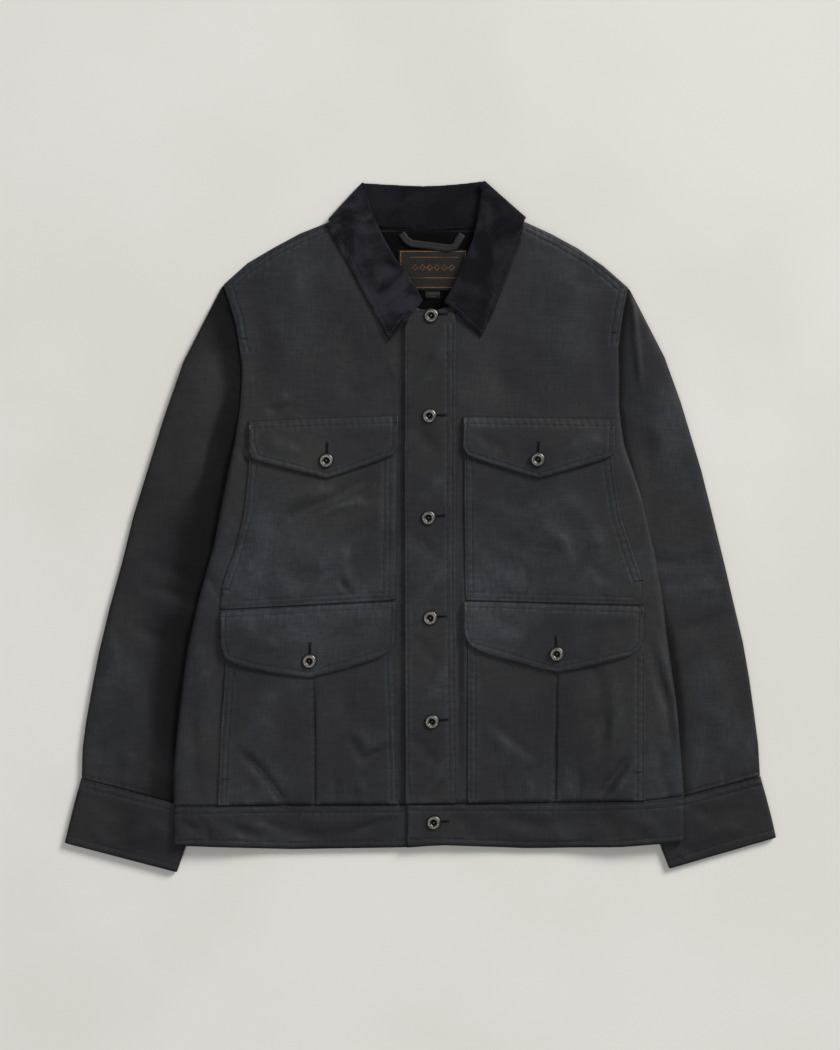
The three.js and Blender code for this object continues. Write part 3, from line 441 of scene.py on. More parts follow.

# Worn places are (x, y, reach, how worn), in millimetres: the wax has rubbed thin there. Where the
# last number is below 0 the colour is darkened instead: painted shade on the right sleeve beside the
# body, and darker patches on the cuffs.
WEAR_AND_SHADE_PLACES = [
    (-177, -60, 50, 0.75),
    (-84, -55, 40, 0.8),
    (-135, -111, 55, 0.7),
    (-40, -94, 34, 0.8),
    (-168, 7, 34, 0.45),
    (89, -72, 45, 0.6),
    (190, -66, 34, 0.5),
    (78, -105, 40, 0.65),
    (140, 7, 45, 0.4),
    (246, -38, 28, 0.4),
    (11, -38, 30, 0.3),
    (-336, -139, 40, 0.35),
    (-348, -245, 34, 0.45),
    (-286, -273, 30, 0.35),
    (336, -240, 44, 0.45),
    (263, -273, 34, 0.4),
    (-191, -324, 50, 0.3),
    (-23, -335, 50, 0.35),
    (156, -320, 44, 0.3),
    (274, -324, 36, 0.4),
    (11, -195, 30, 0.25),
    (-135, 309, 50, 0.2),
    (292, 80, 60, 0.3),
    (-315, -345, 50, -0.3),
    (325, -350, 50, -0.3),
    (-300, 40, 70, -0.3),
    (-320, -110, 50, -0.2),
    (318, -60, 60, 0.3),
    (140, 309, 40, 0.25),
]


def finish_cloth(piece, material, creases=(), rows=(), painted_side_shadow=(), ridge_wear=0.3):
    """Gives a piece its material and a mask: above 0 where it is rubbed, below 0 where it is darkened, as painted
    shade beside the body's sides and as darker patches on the cuffs.
    """
    piece.data.materials.clear()
    piece.data.materials.append(material)
    points = read_points(piece)
    wear_and_shade = np.zeros(len(points))
    for x, y, reach, amount in WEAR_AND_SHADE_PLACES:
        gap = np.hypot(points[:, 0] - x * MM, points[:, 1] - y * MM) / (reach * MM)
        wear_and_shade += amount * np.exp(-(gap**2))
    if len(creases):
        wear_and_shade += ridge_wear * np.clip(crease_height(points[:, :2], creases) / MM, 0, 1)
    if len(rows):
        margin = seam_distance(points[:, :2], rows)
        wear_and_shade += 0.42 * np.exp(-(((margin - 2.3 * MM) / (1.5 * MM)) ** 2))
    # Painted shadow: darker near the body's side edge, which lies over the sleeve.
    if len(painted_side_shadow):
        near = seam_distance(points[:, :2], [painted_side_shadow["line"]])
        wear_and_shade -= painted_side_shadow["amount"] * np.exp(-((near / (painted_side_shadow["reach"] * MM)) ** 2))
    mask = piece.data.attributes.new("wear_and_shade", "FLOAT", "POINT")
    mask.data.foreach_set("value", np.clip(wear_and_shade, -1, 1).astype(np.float32))


for node in ("front_right", "front_left"):
    pull_down([PIECES[node]], BODY_SEAMS[node])
    finish_cloth(PIECES[node], body_cloth, creases=BODY_CREASES, rows=BODY_SEAMS[node])
finish_cloth(back_panel, body_cloth, creases=BACK_CREASES)


# Sewing thread on the body
# Rows of lockstitch in slate thread, 3 mm a stitch, run beside the shoulder seams and down each
# armhole to a bar tack. Every row in the jacket is laid down by the same needle.
STITCH = 2.5
STITCH_GAP = 0.5
THREAD_WIDTH = 0.62


def thread_effect():
    group, _, out = new_effect(
        "sewing thread",
        [("Thread", "NodeSocketColor", srgb(24, 26, 33)), ("Shade", "NodeSocketColor", srgb(13, 14, 18))],
        [("Color", "NodeSocketColor"), ("Roughness", "NodeSocketFloat"), ("Height", "NodeSocketFloat")],
    )
    given = group.nodes["Group Input"]
    place = group.nodes.new("ShaderNodeTexCoord").outputs["Object"]
    fuzz = noise(group, place, 700.0, 2.0)
    patchy = noise(group, place, 30.0, 2.0)
    colour = mixed(group, between(group, patchy, 0.3, 0.6), given.outputs["Shade"], given.outputs["Thread"])
    colour = mixed(group, between(group, fuzz, 0.3, 0.7, 0.0, 0.3), colour, given.outputs["Shade"])
    group.links.new(colour, out.inputs["Color"])
    group.links.new(between(group, fuzz, 0.3, 0.7, 0.5, 0.7), out.inputs["Roughness"])
    group.links.new(threads(group, turned(group, place, 35), "X", 0.3 * MM), out.inputs["Height"])
    return group


THREAD = thread_effect()
slate_thread = surface_material("slate_thread", THREAD, 0.05)


def top_of(pieces):
    """What a needle coming down on these pieces meets first."""
    trees = []
    for piece in pieces:
        trees.append(BVHTree.FromPolygons([v.co for v in piece.data.vertices], [p.vertices[:] for p in piece.data.polygons]))

    def meet(x, y, upward=False):
        start = Vector((x, y, -0.05 if upward else 0.1))
        way = Vector((0, 0, 1 if upward else -1))
        best = None
        for tree in trees:
            spot, normal, _, distance = tree.ray_cast(start, way)
            if spot is not None and (best is None or distance < best[2]):
                best = (spot, normal, distance)
        return best

    return meet


def one_stitch(sewing, spot, normal, along, length, width):
    """A short plump stitch lying along the seam, half sunk in the cloth."""
    along = (along - normal * along.dot(normal)).normalized()
    across = normal.cross(along)
    turn = Matrix((along, across, normal)).transposed().to_4x4()
    size = Matrix.Diagonal((length / 2, width / 2, width * 0.42, 1))
    bmesh.ops.create_icosphere(
        sewing,
        subdivisions=1,
        radius=1.0,
        matrix=Matrix.Translation(spot + normal * width * 0.12) @ turn @ size,
    )


def sew_row(sewing, meet, line, upward=False, length=STITCH, gap=STITCH_GAP):
    """Stitches laid end to end along a line, in millimetres."""
    points = [Vector((x, y)) for x, y in line]
    carried = 0.0
    for start, end in zip(points[:-1], points[1:]):
        run = (end - start).length
        if run < 1e-6:
            continue
        along = (end - start) / run
        while carried < run:
            middle = (start + along * (carried + length / 2)) * MM
            hit = meet(middle.x, middle.y, upward)
            if hit is not None and abs(hit[1].z) > 0.25:
                way = Vector((along.x, along.y, 0))
                one_stitch(sewing, hit[0], hit[1], way, length * MM, THREAD_WIDTH * MM)
            carried += length + gap
        carried -= run


def bar_tack(sewing, meet, line):
    """A bar of close stitches over the end of a seam."""
    start, end = Vector(line[0]), Vector(line[1])
    count = max(3, round((end - start).length / 0.55))
    along = (end - start).normalized()
    for i in range(count + 1):
        spot = start.lerp(end, i / count) * MM
        hit = meet(spot.x, spot.y)
        if hit is not None and hit[1].z > 0.25:
            across = Vector((-along.y, along.x, 0))
            one_stitch(sewing, hit[0], hit[1], across, 2.0 * MM, 0.6 * MM)


def sewn(name, sewing, material=None):
    """Makes a piece of the sewing. What would lie under the table is pressed up to it."""
    for vert in sewing.verts:
        vert.co.z = max(vert.co.z, 0.0)
    mesh = bpy.data.meshes.new(name)
    sewing.to_mesh(mesh)
    sewing.free()
    mesh.polygons.foreach_set("use_smooth", [True] * len(mesh.polygons))
    piece = bpy.data.objects.new(name, mesh)
    bpy.context.collection.objects.link(piece)
    mesh.materials.append(material or slate_thread)
    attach(piece, "root")
    return piece


body_sewing = bmesh.new()
for node, rows in BODY_SEAMS.items():
    meet = top_of([PIECES[node]])
    for row in rows:
        sew_row(body_sewing, meet, row)
bar_tack(body_sewing, top_of([front_right]), [(-200.9, 210.6), (-193.6, 210.0)])
bar_tack(body_sewing, top_of([front_left]), [(213.5, 217.8), (220.2, 216.7)])
body_thread = sewn("body_thread", body_sewing)


# Sleeves and cuffs
# Two-piece sleeves of the same drill, pressed flat, each gathered into a stiff two-ply cuff. A twin row
# joins sleeve and cuff, and one more row runs round the cuff's opening.
CUFF_SEAMS = {
    "cuff_right": [
        [(-376.7, -286.2), (-278.2, -310.8), (-251.3, -319.2)],
        [(-377.8, -292.3), (-279.3, -317.5), (-253.5, -325.9)],
        [(-395.2, -346.6), (-336.4, -362.9), (-271.4, -379.7)],
    ],
    "cuff_left": [
        [(379.3, -283.4), (313.2, -300.7), (252.7, -316.4)],
        [(381.5, -290.1), (316.6, -306.9), (256.1, -323.1)],
        [(396.1, -339.9), (344.6, -353.4), (277.4, -375.2)],
    ],
}
SLEEVE_SEAMS = {
    "sleeve_right": [beside([(-377.8, -281.1), (-278.2, -305.8), (-249.0, -314.7)], 2.0)],
    "sleeve_left": [beside([(379.3, -277.8), (313.2, -295.1), (251.6, -311.4)], -2.0)],
}
SLEEVE_CREASES = {
    "sleeve_right": crease_rows(
        [
            ([(-231.1, 253.1), (-222.2, 244.2), (-213.2, 230.7)], 5, -1.4),
            ([(-240.1, 202.7), (-251.3, 118.7), (-271.4, 29.1)], 24, 2.3),
            ([(-217.7, 141.1), (-226.6, 62.7), (-241.2, 6.7)], 14, -1.6),
            ([(-311.8, -38.1), (-274.8, -51.5), (-233.4, -73.9)], 10, -2.1),
            ([(-318.5, -71.7), (-282.6, -87.4), (-241.2, -96.3)], 9, 1.8),
            ([(-329.7, -107.5), (-291.6, -127.7), (-251.3, -127.7)], 9, -1.8),
            ([(-349.8, -127.7), (-327.4, -183.7), (-311.8, -234.1)], 15, 1.9),
            ([(-291.6, -150.1), (-273.7, -206.1), (-269.2, -253.1)], 14, -1.4),
            ([(-354.3, -234.1), (-358.8, -256.5), (-361.0, -282.2)], 5, -1.4),
            ([(-329.7, -241.9), (-327.4, -267.7), (-329.7, -291.2)], 6, 1.4),
            ([(-300.6, -253.1), (-302.8, -278.9), (-305.0, -300.2)], 5, -1.6),
            ([(-273.7, -253.1), (-271.4, -282.2), (-273.7, -306.9)], 6, 1.2),
        ]
    ),
    "sleeve_left": crease_rows(
        [
            ([(231.4, 271.0), (238.2, 246.4), (241.5, 208.3), (247.1, 152.3)], 4, 1.9),
            ([(246.0, 219.5), (259.4, 141.1), (281.8, 51.5)], 24, 2.1),
            ([(250.5, 118.7), (257.2, 51.5), (262.8, -21.3)], 10, -1.4),
            ([(257.2, -38.1), (296.4, -44.8), (331.1, -29.1)], 10, -1.8),
            ([(262.8, -78.4), (302.0, -71.7), (340.1, -69.4)], 9, 1.6),
            ([(272.9, -116.5), (313.2, -112.0), (353.5, -96.3)], 9, -1.6),
            ([(313.2, -138.9), (331.1, -194.9), (337.8, -245.3)], 16, 1.9),
            ([(352.4, -150.1), (360.2, -194.9), (362.5, -245.3)], 9, -1.2),
            ([(281.8, -245.3), (279.6, -273.3), (277.4, -302.4)], 6, -1.4),
            ([(306.5, -239.7), (308.7, -267.7), (306.5, -295.7)], 6, 1.4),
            ([(337.8, -241.9), (340.1, -264.3), (340.1, -286.7)], 5, -1.6),
            ([(362.5, -234.1), (367.0, -256.5), (367.0, -280.0)], 5, 1.2),
        ]
    ),
}
BODY_SIDE_RIGHT = [
    *ARMHOLE_RIGHT,
    (-228, 10),
    (-245.9, -59.6),
    (-260.3, -127.7),
    (-271, -199.4),
    (-276.4, -271),
    (-277, -330),
]
BODY_SIDE_LEFT = [*ARMHOLE_LEFT, (243.0, 20.0), (262.0, -60.0), (279.0, -130.0), (290.0, -200.0), (296.0, -300.0)]
# Painted shadow: the sleeves are darkened along the body's side edges, where the body lies over them, widely on the
# right sleeve and narrowly on the left.
PAINTED_SIDE_SHADOWS = {
    "right": {"line": BODY_SIDE_RIGHT, "reach": 36, "amount": 0.95},
    "left": {"line": BODY_SIDE_LEFT, "reach": 9, "amount": 0.8},
}
CUFF_CREASES = crease_rows(
    [
        ([(-370.0, -306.9), (-342.0, -323.7), (-314.0, -320.3)], 9, -1.2),
        ([(-327.4, -349.4), (-302.8, -336.0), (-278.2, -345.0)], 8, 1.1),
        ([(-367.8, -333.8), (-358.8, -349.4), (-336.4, -355.0)], 6, 0.9),
        ([(299.8, -313.6), (330.0, -327.0), (360.2, -315.8)], 9, -1.2),
        ([(313.2, -351.7), (337.8, -338.2), (363.6, -342.7)], 8, 1.1),
        ([(281.8, -349.4), (295.3, -360.6), (313.2, -365.1)], 6, -0.9),
    ]
)
UNDER_SLEEVE_CREASES = crease_rows(
    [
        ([(-240, 150), (-270, 60), (-300, -40)], 14, 0.8),
        ([(-320, -60), (-270, -75), (-235, -90)], 10, 0.9),
        ([(-340, -150), (-320, -210), (-310, -265)], 10, 0.7),
        ([(240, 150), (275, 50), (300, -50)], 14, 0.8),
        ([(235, -80), (280, -70), (330, -75)], 10, 0.9),
        ([(330, -160), (335, -215), (325, -265)], 10, 0.7),
    ]
)


# A darker copy of the body's drill. On the sleeves the darker tone is painted shade, for they lie lower than the
# body; the placket and the hanger loop take the same copy.
sleeve_cloth = surface_material(
    "waxed_cloth_sleeves",
    WAXED_DRILL,
    0.05,
    sheen=0.04,
    bare_cloth=srgb(22, 22, 27),
    wax=srgb(24, 23, 23),
)
band_cloth = surface_material(
    "waxed_cloth_bands",
    WAXED_DRILL,
    0.05,
    sheen=0.03,
    bare_cloth=srgb(17, 17, 23),
    wax=srgb(19, 19, 19),
    rubbed=srgb(31, 34, 41),
)
sleeve_sewing = bmesh.new()
for side in ("right", "left"):
    sleeve = cut_piece("sleeve_" + side, seams=SLEEVE_SEAMS["sleeve_" + side])
    cuff = cut_piece("cuff_" + side, cell=3.6 * MM, seams=CUFF_SEAMS["cuff_" + side])
    crease([sleeve], SLEEVE_CREASES["sleeve_" + side])
    crease([cuff], CUFF_CREASES)
    crease_underside(sleeve, UNDER_SLEEVE_CREASES)
    pull_down([sleeve], SLEEVE_SEAMS["sleeve_" + side])
    pull_down([cuff], CUFF_SEAMS["cuff_" + side])
    finish_cloth(sleeve, sleeve_cloth, creases=SLEEVE_CREASES["sleeve_" + side], painted_side_shadow=PAINTED_SIDE_SHADOWS[side])
    finish_cloth(cuff, band_cloth, creases=CUFF_CREASES, rows=CUFF_SEAMS["cuff_" + side])
    for row in CUFF_SEAMS["cuff_" + side]:
        sew_row(sleeve_sewing, top_of([cuff]), row)
        sew_row(sleeve_sewing, top_of([cuff]), row, upward=True)
    for row in SLEEVE_SEAMS["sleeve_" + side]:
        sew_row(sleeve_sewing, top_of([sleeve]), row)
sleeve_thread = sewn("sleeve_thread", sleeve_sewing)


# Waistband
# A straight band of doubled drill sewn all round the bottom of the body, 45 mm deep, with twin rows at
# its seam and one row above its lower edge. It overlaps itself at the front.
BAND_SEAMS = [
    [(-274.8, -314.2), (-146.0, -314.2), (-19.4, -313.6)],
    [(-274.8, -320.9), (-146.0, -320.9), (-19.4, -320.3)],
    [(-272.6, -351.1), (-246.8, -350.0), (-147.1, -354.5), (-19.4, -352.2)],
    [(-12.7, -311.4), (121.7, -312.5), (187.8, -311.9), (251.6, -309.1), (291.9, -305.2)],
    [(-12.7, -318.1), (121.7, -319.2), (187.8, -318.6), (251.6, -315.8), (291.9, -311.9)],
    [(-11.6, -350.6), (22.0, -349.4), (121.7, -353.9), (221.4, -352.2), (289.7, -346.1)],
]
BAND_CREASES = crease_rows(
    [
        ([(-274.0, -327.0), (-247.7, -340.5), (-233.0, -352.2)], 5, -1.6),
        ([(-250.0, -324.0), (-241.0, -336.0), (-233.0, -349.4)], 4, -1.3),
        ([(-224.4, -329.0), (-195.0, -343.5), (-172.0, -349.4)], 6, -1.6),
        ([(-206.7, -330.0), (-186.3, -336.0), (-165.0, -338.0)], 5, 1.1),
        ([(-176.0, -330.0), (-154.0, -340.6), (-127.7, -346.4), (-98.0, -347.9)], 6, -1.8),
        ([(-132.0, -328.0), (-101.4, -331.9), (-66.0, -329.0)], 6, 1.3),
        ([(-92.0, -347.5), (-69.2, -340.6), (-42.8, -331.9), (-19.4, -327.5)], 4.5, -2.1),
        ([(35.4, -322.6), (55.6, -336.0), (62.3, -351.7)], 8, -1.1),
        ([(73.5, -322.6), (134.0, -336.0), (201.2, -327.0)], 8, -1.6),
        ([(89.2, -340.5), (145.2, -349.4), (196.7, -342.7)], 8, 1.2),
        ([(199.0, -320.3), (214.6, -336.0), (219.1, -351.7)], 9, -1.2),
        ([(234.8, -322.6), (257.2, -336.0), (268.4, -347.2)], 8, 1.4),
    ]
)
UNDER_BAND_CREASES = crease_rows(
    [
        ([(-210, -318), (-150, -335), (-90, -325)], 8, 0.7),
        ([(-20, -320), (60, -338), (120, -328)], 8, 0.7),
        ([(170, -318), (215, -335), (260, -322)], 8, 0.6),
    ]
)

waistband = cut_piece("waistband", cell=3.6 * MM, seams=BAND_SEAMS)
crease([waistband], BAND_CREASES)
crease_underside(waistband, UNDER_BAND_CREASES)
pull_down([waistband], BAND_SEAMS, pucker=0.13)
finish_cloth(waistband, band_cloth, creases=BAND_CREASES, rows=BAND_SEAMS)
band_sewing = bmesh.new()
over_band, under_band = top_of([waistband]), top_of([waistband])
for row in BAND_SEAMS:
    sew_row(band_sewing, over_band, row)
    sew_row(band_sewing, under_band, row, upward=True)
band_thread = sewn("band_thread", band_sewing)


# Patch pockets
# Four flat pockets of one layer of drill, sewn on down both sides with twin rows and closed at the
# bottom. The chest pair slants out, and the lower pair has a stitched pleat down its middle.
POCKET_SEAMS = {
    "chest_patch_right": [
        [(-188.0, 82.9), (-193.3, 14.6), (-210.4, -43.7), (-219.4, -69.4)],
        [(-182.4, 73.9), (-187.4, 14.6), (-204.2, -44.8), (-214.3, -71.7)],
        [(-39.6, 76.2), (-40.2, -4.5), (-41.8, -80.6)],
        [(-34.0, 78.4), (-34.2, -4.5), (-35.1, -80.6)],
        [(-222.2, -90.2), (-134.8, -85.1), (-29.5, -79.1)],
        [(-222.2, -84.6), (-134.8, -79.5), (-36.2, -73.9)],
    ],
    "chest_patch_left": [
        [(51.7, 79.5), (52.2, -4.5), (52.8, -79.5)],
        [(57.8, 73.9), (58.4, -4.5), (59.0, -79.5)],
        [(210.7, 77.3), (215.1, 43.7), (221.1, 9.0), (229.4, -16.8), (243.2, -60.5)],
        [(204.6, 73.9), (209.0, 42.6), (214.6, 7.3), (223.4, -19.0), (237.0, -60.5)],
        [(52.2, -79.5), (145.2, -82.3), (244.3, -85.1)],
        [(52.2, -73.9), (145.2, -76.7), (238.2, -79.5)],
    ],
    "lower_patch_right": [
        [(-214.1, -154.6), (-219.9, -240.8), (-222.7, -309.1)],
        [(-208.2, -159.0), (-213.9, -240.8), (-217.1, -309.1)],
        [(-36.7, -143.4), (-34.6, -228.5), (-32.3, -308.0)],
        [(-30.9, -141.1), (-28.6, -228.5), (-26.7, -308.0)],
        [(-119.1, -172.5), (-117.1, -210.6), (-117.1, -310.2)],
    ],
    "lower_patch_left": [
        [(56.1, -138.9), (56.1, -304.6)],
        [(62.1, -143.4), (62.1, -304.6)],
        [(242.6, -145.6), (242.4, -304.6)],
        [(248.7, -142.2), (248.5, -304.6)],
        [(153.5, -168.0), (152.4, -252.0), (151.9, -305.8)],
    ],
}
POCKET_TACKS = {
    "chest_patch_right": [([(-222.2, -71.1), (-213.2, -69.7)]), ([(-225.0, -92.5), (-217.1, -91.8)]), ([(-32.9, -82.2), (-26.2, -81.8)])],
    "chest_patch_left": [([(239.3, -61.6), (248.2, -60.7)]), ([(241.5, -87.4), (249.4, -87.4)])],
    "lower_patch_right": [([(-221.0, -282.2), (-212.1, -282.2)])],
    "lower_patch_left": [([(240.4, -274.4), (249.4, -274.4)])],
}
POCKET_CREASES = {
    "chest_patch_right": crease_rows(
        [
            ([(-38.7, 59.4), (-98.2, 29.6), (-142.7, 9.7), (-150.1, -12.5)], 9, -2.2),
            ([(-88.2, 36.6), (-135.3, 34.6), (-172.4, 22.2)], 9, 1.6),
            ([(-48.6, 27.1), (-73.3, 27.1), (-108.0, 17.2), (-127.8, 7.3)], 5, 2.2),
            ([(-73.3, 34.7), (-62.0, 31.0), (-51.0, 25.9)], 4, -1.6),
            ([(-35.0, 12.3), (-73.3, -12.5), (-88.2, -32.4)], 9, -1.7),
            ([(-147.7, -37.3), (-137.8, -57.1), (-108.0, -57.1), (-98.2, -37.3)], 10, -1.9),
            ([(-83.3, -17.5), (-88.2, -42.2), (-75.8, -72.0)], 6, 1.9),
            ([(-91.0, -58.0), (-85.7, -66.5), (-78.8, -76.4)], 4, -1.6),
            ([(-157.2, 40.3), (-177.4, -4.5), (-190.8, -54.9)], 14, 1.4),
            ([(-195.3, -38.1), (-184.1, -58.2), (-168.4, -73.9)], 6, 1.2),
        ]
    ),
    "chest_patch_left": crease_rows(
        [
            ([(66.8, 29.1), (100.4, 13.4), (139.6, 20.2)], 9, 1.8),
            ([(89.2, -10.1), (122.8, -29.1), (169.8, -24.6)], 10, -1.8),
            ([(156.4, 38.1), (185.5, 6.7), (201.2, -38.1)], 11, 1.8),
            ([(134.0, 6.7), (158.6, -17.9), (173.2, -49.3)], 7, 1.6),
            ([(184.4, -38.1), (201.2, -54.9), (221.4, -67.2)], 7, -1.4),
            ([(71.3, -38.1), (89.2, -58.2), (122.8, -67.2)], 9, 1.4),
            ([(111.6, -38.1), (120.6, -56.0), (116.1, -73.9)], 5, -1.1),
        ]
    ),
    "lower_patch_right": crease_rows(
        [
            ([(-209.8, -243.0), (-177.4, -275.5), (-149.4, -313.6)], 5, -2.0),
            ([(-202.0, -237.4), (-170.6, -266.6), (-143.8, -302.4)], 7, 0.8),
            ([(-175.1, -280.0), (-163.9, -295.7), (-152.7, -313.6)], 4, -1.2),
            ([(-81.0, -237.4), (-63.1, -262.1), (-31.8, -248.6)], 5, -2.1),
            ([(-76.6, -226.2), (-56.4, -246.4), (-34.0, -235.2)], 6, 1.6),
            ([(-195.3, -280.0), (-188.6, -295.7), (-186.3, -313.6)], 4, -1.2),
            ([(-101.2, -273.3), (-94.5, -291.2), (-96.7, -311.4)], 5, -1.2),
            ([(-72.1, -280.0), (-65.4, -295.7), (-65.4, -311.4)], 5, 1.2),
            ([(-162.8, -183.7), (-177.4, -217.3), (-170.6, -250.9)], 14, 1.6),
            ([(-78.8, -172.5), (-85.5, -200.5), (-76.6, -228.5)], 10, -1.1),
        ]
    ),
    "lower_patch_left": crease_rows(
        [
            ([(74.0, -228.0), (98.0, -247.5), (128.0, -268.0)], 7, 1.5),
            ([(76.0, -216.0), (101.0, -238.0), (124.0, -258.0)], 6, -0.9),
            ([(195.0, -150.0), (201.9, -206.6), (203.3, -262.0)], 9, -2.3),
            ([(214.6, -168.0), (219.1, -206.1), (214.6, -253.1)], 7, 1.4),
            ([(232.6, -257.6), (216.9, -280.0), (196.7, -305.8)], 5, -2.4),
            ([(239.3, -264.3), (225.8, -286.7), (210.2, -306.9)], 5, 1.6),
            ([(176.6, -271.0), (178.8, -289.0), (174.3, -306.9)], 4, -1.4),
            ([(163.1, -266.6), (165.4, -286.7), (163.1, -306.9)], 5, 1.1),
            ([(89.2, -280.0), (93.7, -293.4), (91.4, -306.9)], 4, -1.2),
            ([(118.3, -282.2), (122.8, -295.7), (120.6, -306.9)], 4, 1.1),
        ]
    ),
}
PLEAT_FOLDS = {
    "lower_patch_right": crease_rows([([(-121, -150), (-119, -211), (-119, -345)], 1.5, -1.7)]),
    "lower_patch_left": crease_rows([([(152, -145), (151, -252), (150.5, -345)], 1.5, -1.7)]),
}

pocket_cloth = surface_material(
    "waxed_cloth_pockets",
    WAXED_DRILL,
    0.05,
    sheen=0.04,
    bare_cloth=srgb(23, 24, 30),
    wax=srgb(26, 25, 24),
)
pocket_sewing = bmesh.new()
for node, rows in POCKET_SEAMS.items():
    front = front_right if node.endswith("right") else front_left
    folds = [fold["line"] for fold in PLEAT_FOLDS.get(node, [])]
    patch = cut_piece(node, seams=[*rows, *folds])
    crease([patch], POCKET_CREASES[node])
    crease([patch], PLEAT_FOLDS.get(node, []))
    pull_down([patch], rows)
    finish_cloth(patch, pocket_cloth, creases=POCKET_CREASES[node], rows=rows[:4])
    over_patch = top_of([patch, front])
    for row in rows:
        sew_row(pocket_sewing, over_patch, row)
    for tack in POCKET_TACKS[node]:
        bar_tack(pocket_sewing, over_patch, tack)
pocket_thread = sewn("pocket_thread", pocket_sewing)


# Pocket flaps
# Each pocket has a doubled flap sewn across its top. The chest flaps come to a soft point and the lower
# ones are curved, with one row run round the edge, and a buttonhole worked above the button.
FLAP_EDGES = {
    "chest_flap_right": [(-191.0, 119.8), (-190.2, 90.7), (-182.3, 74.4), (-103.4, 53.8), (-31.3, 79.5), (-26.2, 86.2), (-25.0, 124.3)],
    "chest_flap_left": [(47.8, 123.2), (46.1, 89.6), (53.8, 77.7), (131.8, 53.8), (211.6, 77.7), (215.8, 86.2), (218.0, 121.0)],
    "lower_flap_right": [(-222.8, -93.0), (-222.8, -127.7), (-216.8, -148.5), (-186.8, -158.5), (-124.7, -168.6), (-36.8, -142.2), (-28.8, -134.4), (-26.8, -82.9)],
    "lower_flap_left": [(47.8, -81.8), (48.0, -116.5), (55.0, -134.4), (151.9, -162.8), (234.0, -144.5), (248.0, -134.4), (250.0, -89.6)],
}
FLAP_TOPS = {
    "chest_flap_right": [[(-189.7, 118.2), (-26.7, 123.8)], [(-188.6, 110.2), (-27.3, 115.8)]],
    "chest_flap_left": [[(49.4, 122.3), (216.9, 120.1)], [(49.4, 114.7), (216.9, 112.2)]],
    "lower_flap_right": [[(-221.0, -95.2), (-29.0, -84.6)], [(-220.5, -101.4), (-29.5, -91.1)]],
    "lower_flap_left": [[(49.4, -84.0), (248.2, -90.2)], [(49.4, -90.3), (247.7, -96.3)]],
}
FLAP_CREASES = {
    "chest_flap_right": crease_rows(
        [
            ([(-177.4, 105.3), (-157.2, 89.6), (-134.8, 82.9)], 7, 1.2),
            ([(-84.4, 82.9), (-62.0, 96.3), (-36.2, 100.8)], 7, -1.1),
        ]
    ),
    "chest_flap_left": crease_rows(
        [
            ([(62.3, 103.0), (82.5, 89.6), (102.6, 85.1)], 7, -1.1),
            ([(156.4, 82.9), (178.8, 94.1), (203.4, 96.3)], 7, 1.2),
        ]
    ),
    "lower_flap_right": crease_rows(
        [
            ([(-202.0, -109.8), (-177.4, -129.9), (-152.7, -136.6)], 8, 1.4),
            ([(-101.2, -127.7), (-76.6, -114.2), (-45.2, -112.0)], 8, -1.2),
        ]
    ),
    "lower_flap_left": crease_rows(
        [
            ([(64.6, -103.0), (89.2, -121.0), (118.3, -127.7)], 8, 1.2),
            ([(174.3, -127.7), (201.2, -112.0), (232.6, -114.2)], 8, -1.1),
        ]
    ),
}

flap_sewing = bmesh.new()
for node, edge in FLAP_EDGES.items():
    rows = [beside(edge, 5.2), *FLAP_TOPS[node]]
    flap = cut_piece(node, cell=3.6 * MM, seams=rows)
    crease([flap], FLAP_CREASES[node])
    pull_down([flap], rows)
    finish_cloth(flap, pocket_cloth, creases=FLAP_CREASES[node], rows=rows)
    patch = PIECES[node.replace("flap", "patch")]
    for row in rows:
        sew_row(flap_sewing, top_of([flap]), row)
flap_thread = sewn("flap_thread", flap_sewing)


# Front placket
# A straight strip of drill faced down the overlapping edge. It carries the buttonholes, has one row
# close to its open edge and twin rows down the other, and buckles a little between the buttons.
PLACKET_SEAMS = [
    [(-14.4, 219.5), (-15.0, 73.9), (-14.3, -82.9), (-12.5, -280.0), (-11.6, -305.8)],
    [(30.5, 225.1), (30.5, 73.9), (30.7, -82.9), (32.1, -194.9), (33.8, -305.8)],
    [(36.1, 225.1), (36.1, 73.9), (36.3, -82.9), (37.9, -194.9), (39.9, -305.8)],
]
PLACKET_CREASES = crease_rows(
    [
        ([(23.1, 208.3), (17.5, 183.7), (-0.4, 154.6)], 7, 1.4),
        ([(-7.1, 118.7), (4.1, 96.3), (22.0, 82.9)], 8, -1.4),
        ([(22.0, 62.7), (13.0, 40.3), (-4.9, 29.1)], 7, 1.6),
        ([(-9.4, -4.5), (4.1, -24.6), (24.2, -35.8)], 8, -1.4),
        ([(23.1, -44.8), (15.3, -65.0), (-2.6, -82.9)], 7, 1.6),
        ([(-7.1, -121.0), (6.3, -141.1), (22.0, -154.6)], 7, -1.6),
        ([(25.4, -159.0), (17.5, -183.7), (-0.4, -201.6)], 7, 1.6),
        ([(-7.1, -235.2), (4.1, -253.1), (22.0, -264.3)], 7, -1.4),
        ([(25.4, -257.6), (19.8, -280.0), (6.3, -297.9)], 6, 1.4),
    ]
)
BUCKLE_CREASES = crease_rows(
    [
        ([(41.6, -32.5), (43.8, -127.7), (43.3, -228.5), (43.8, -306.9)], 3.2, -3.0),
        ([(47.2, -38.1), (49.4, -127.7), (48.9, -228.5), (49.4, -306.9)], 3.4, 1.6),
    ]
)

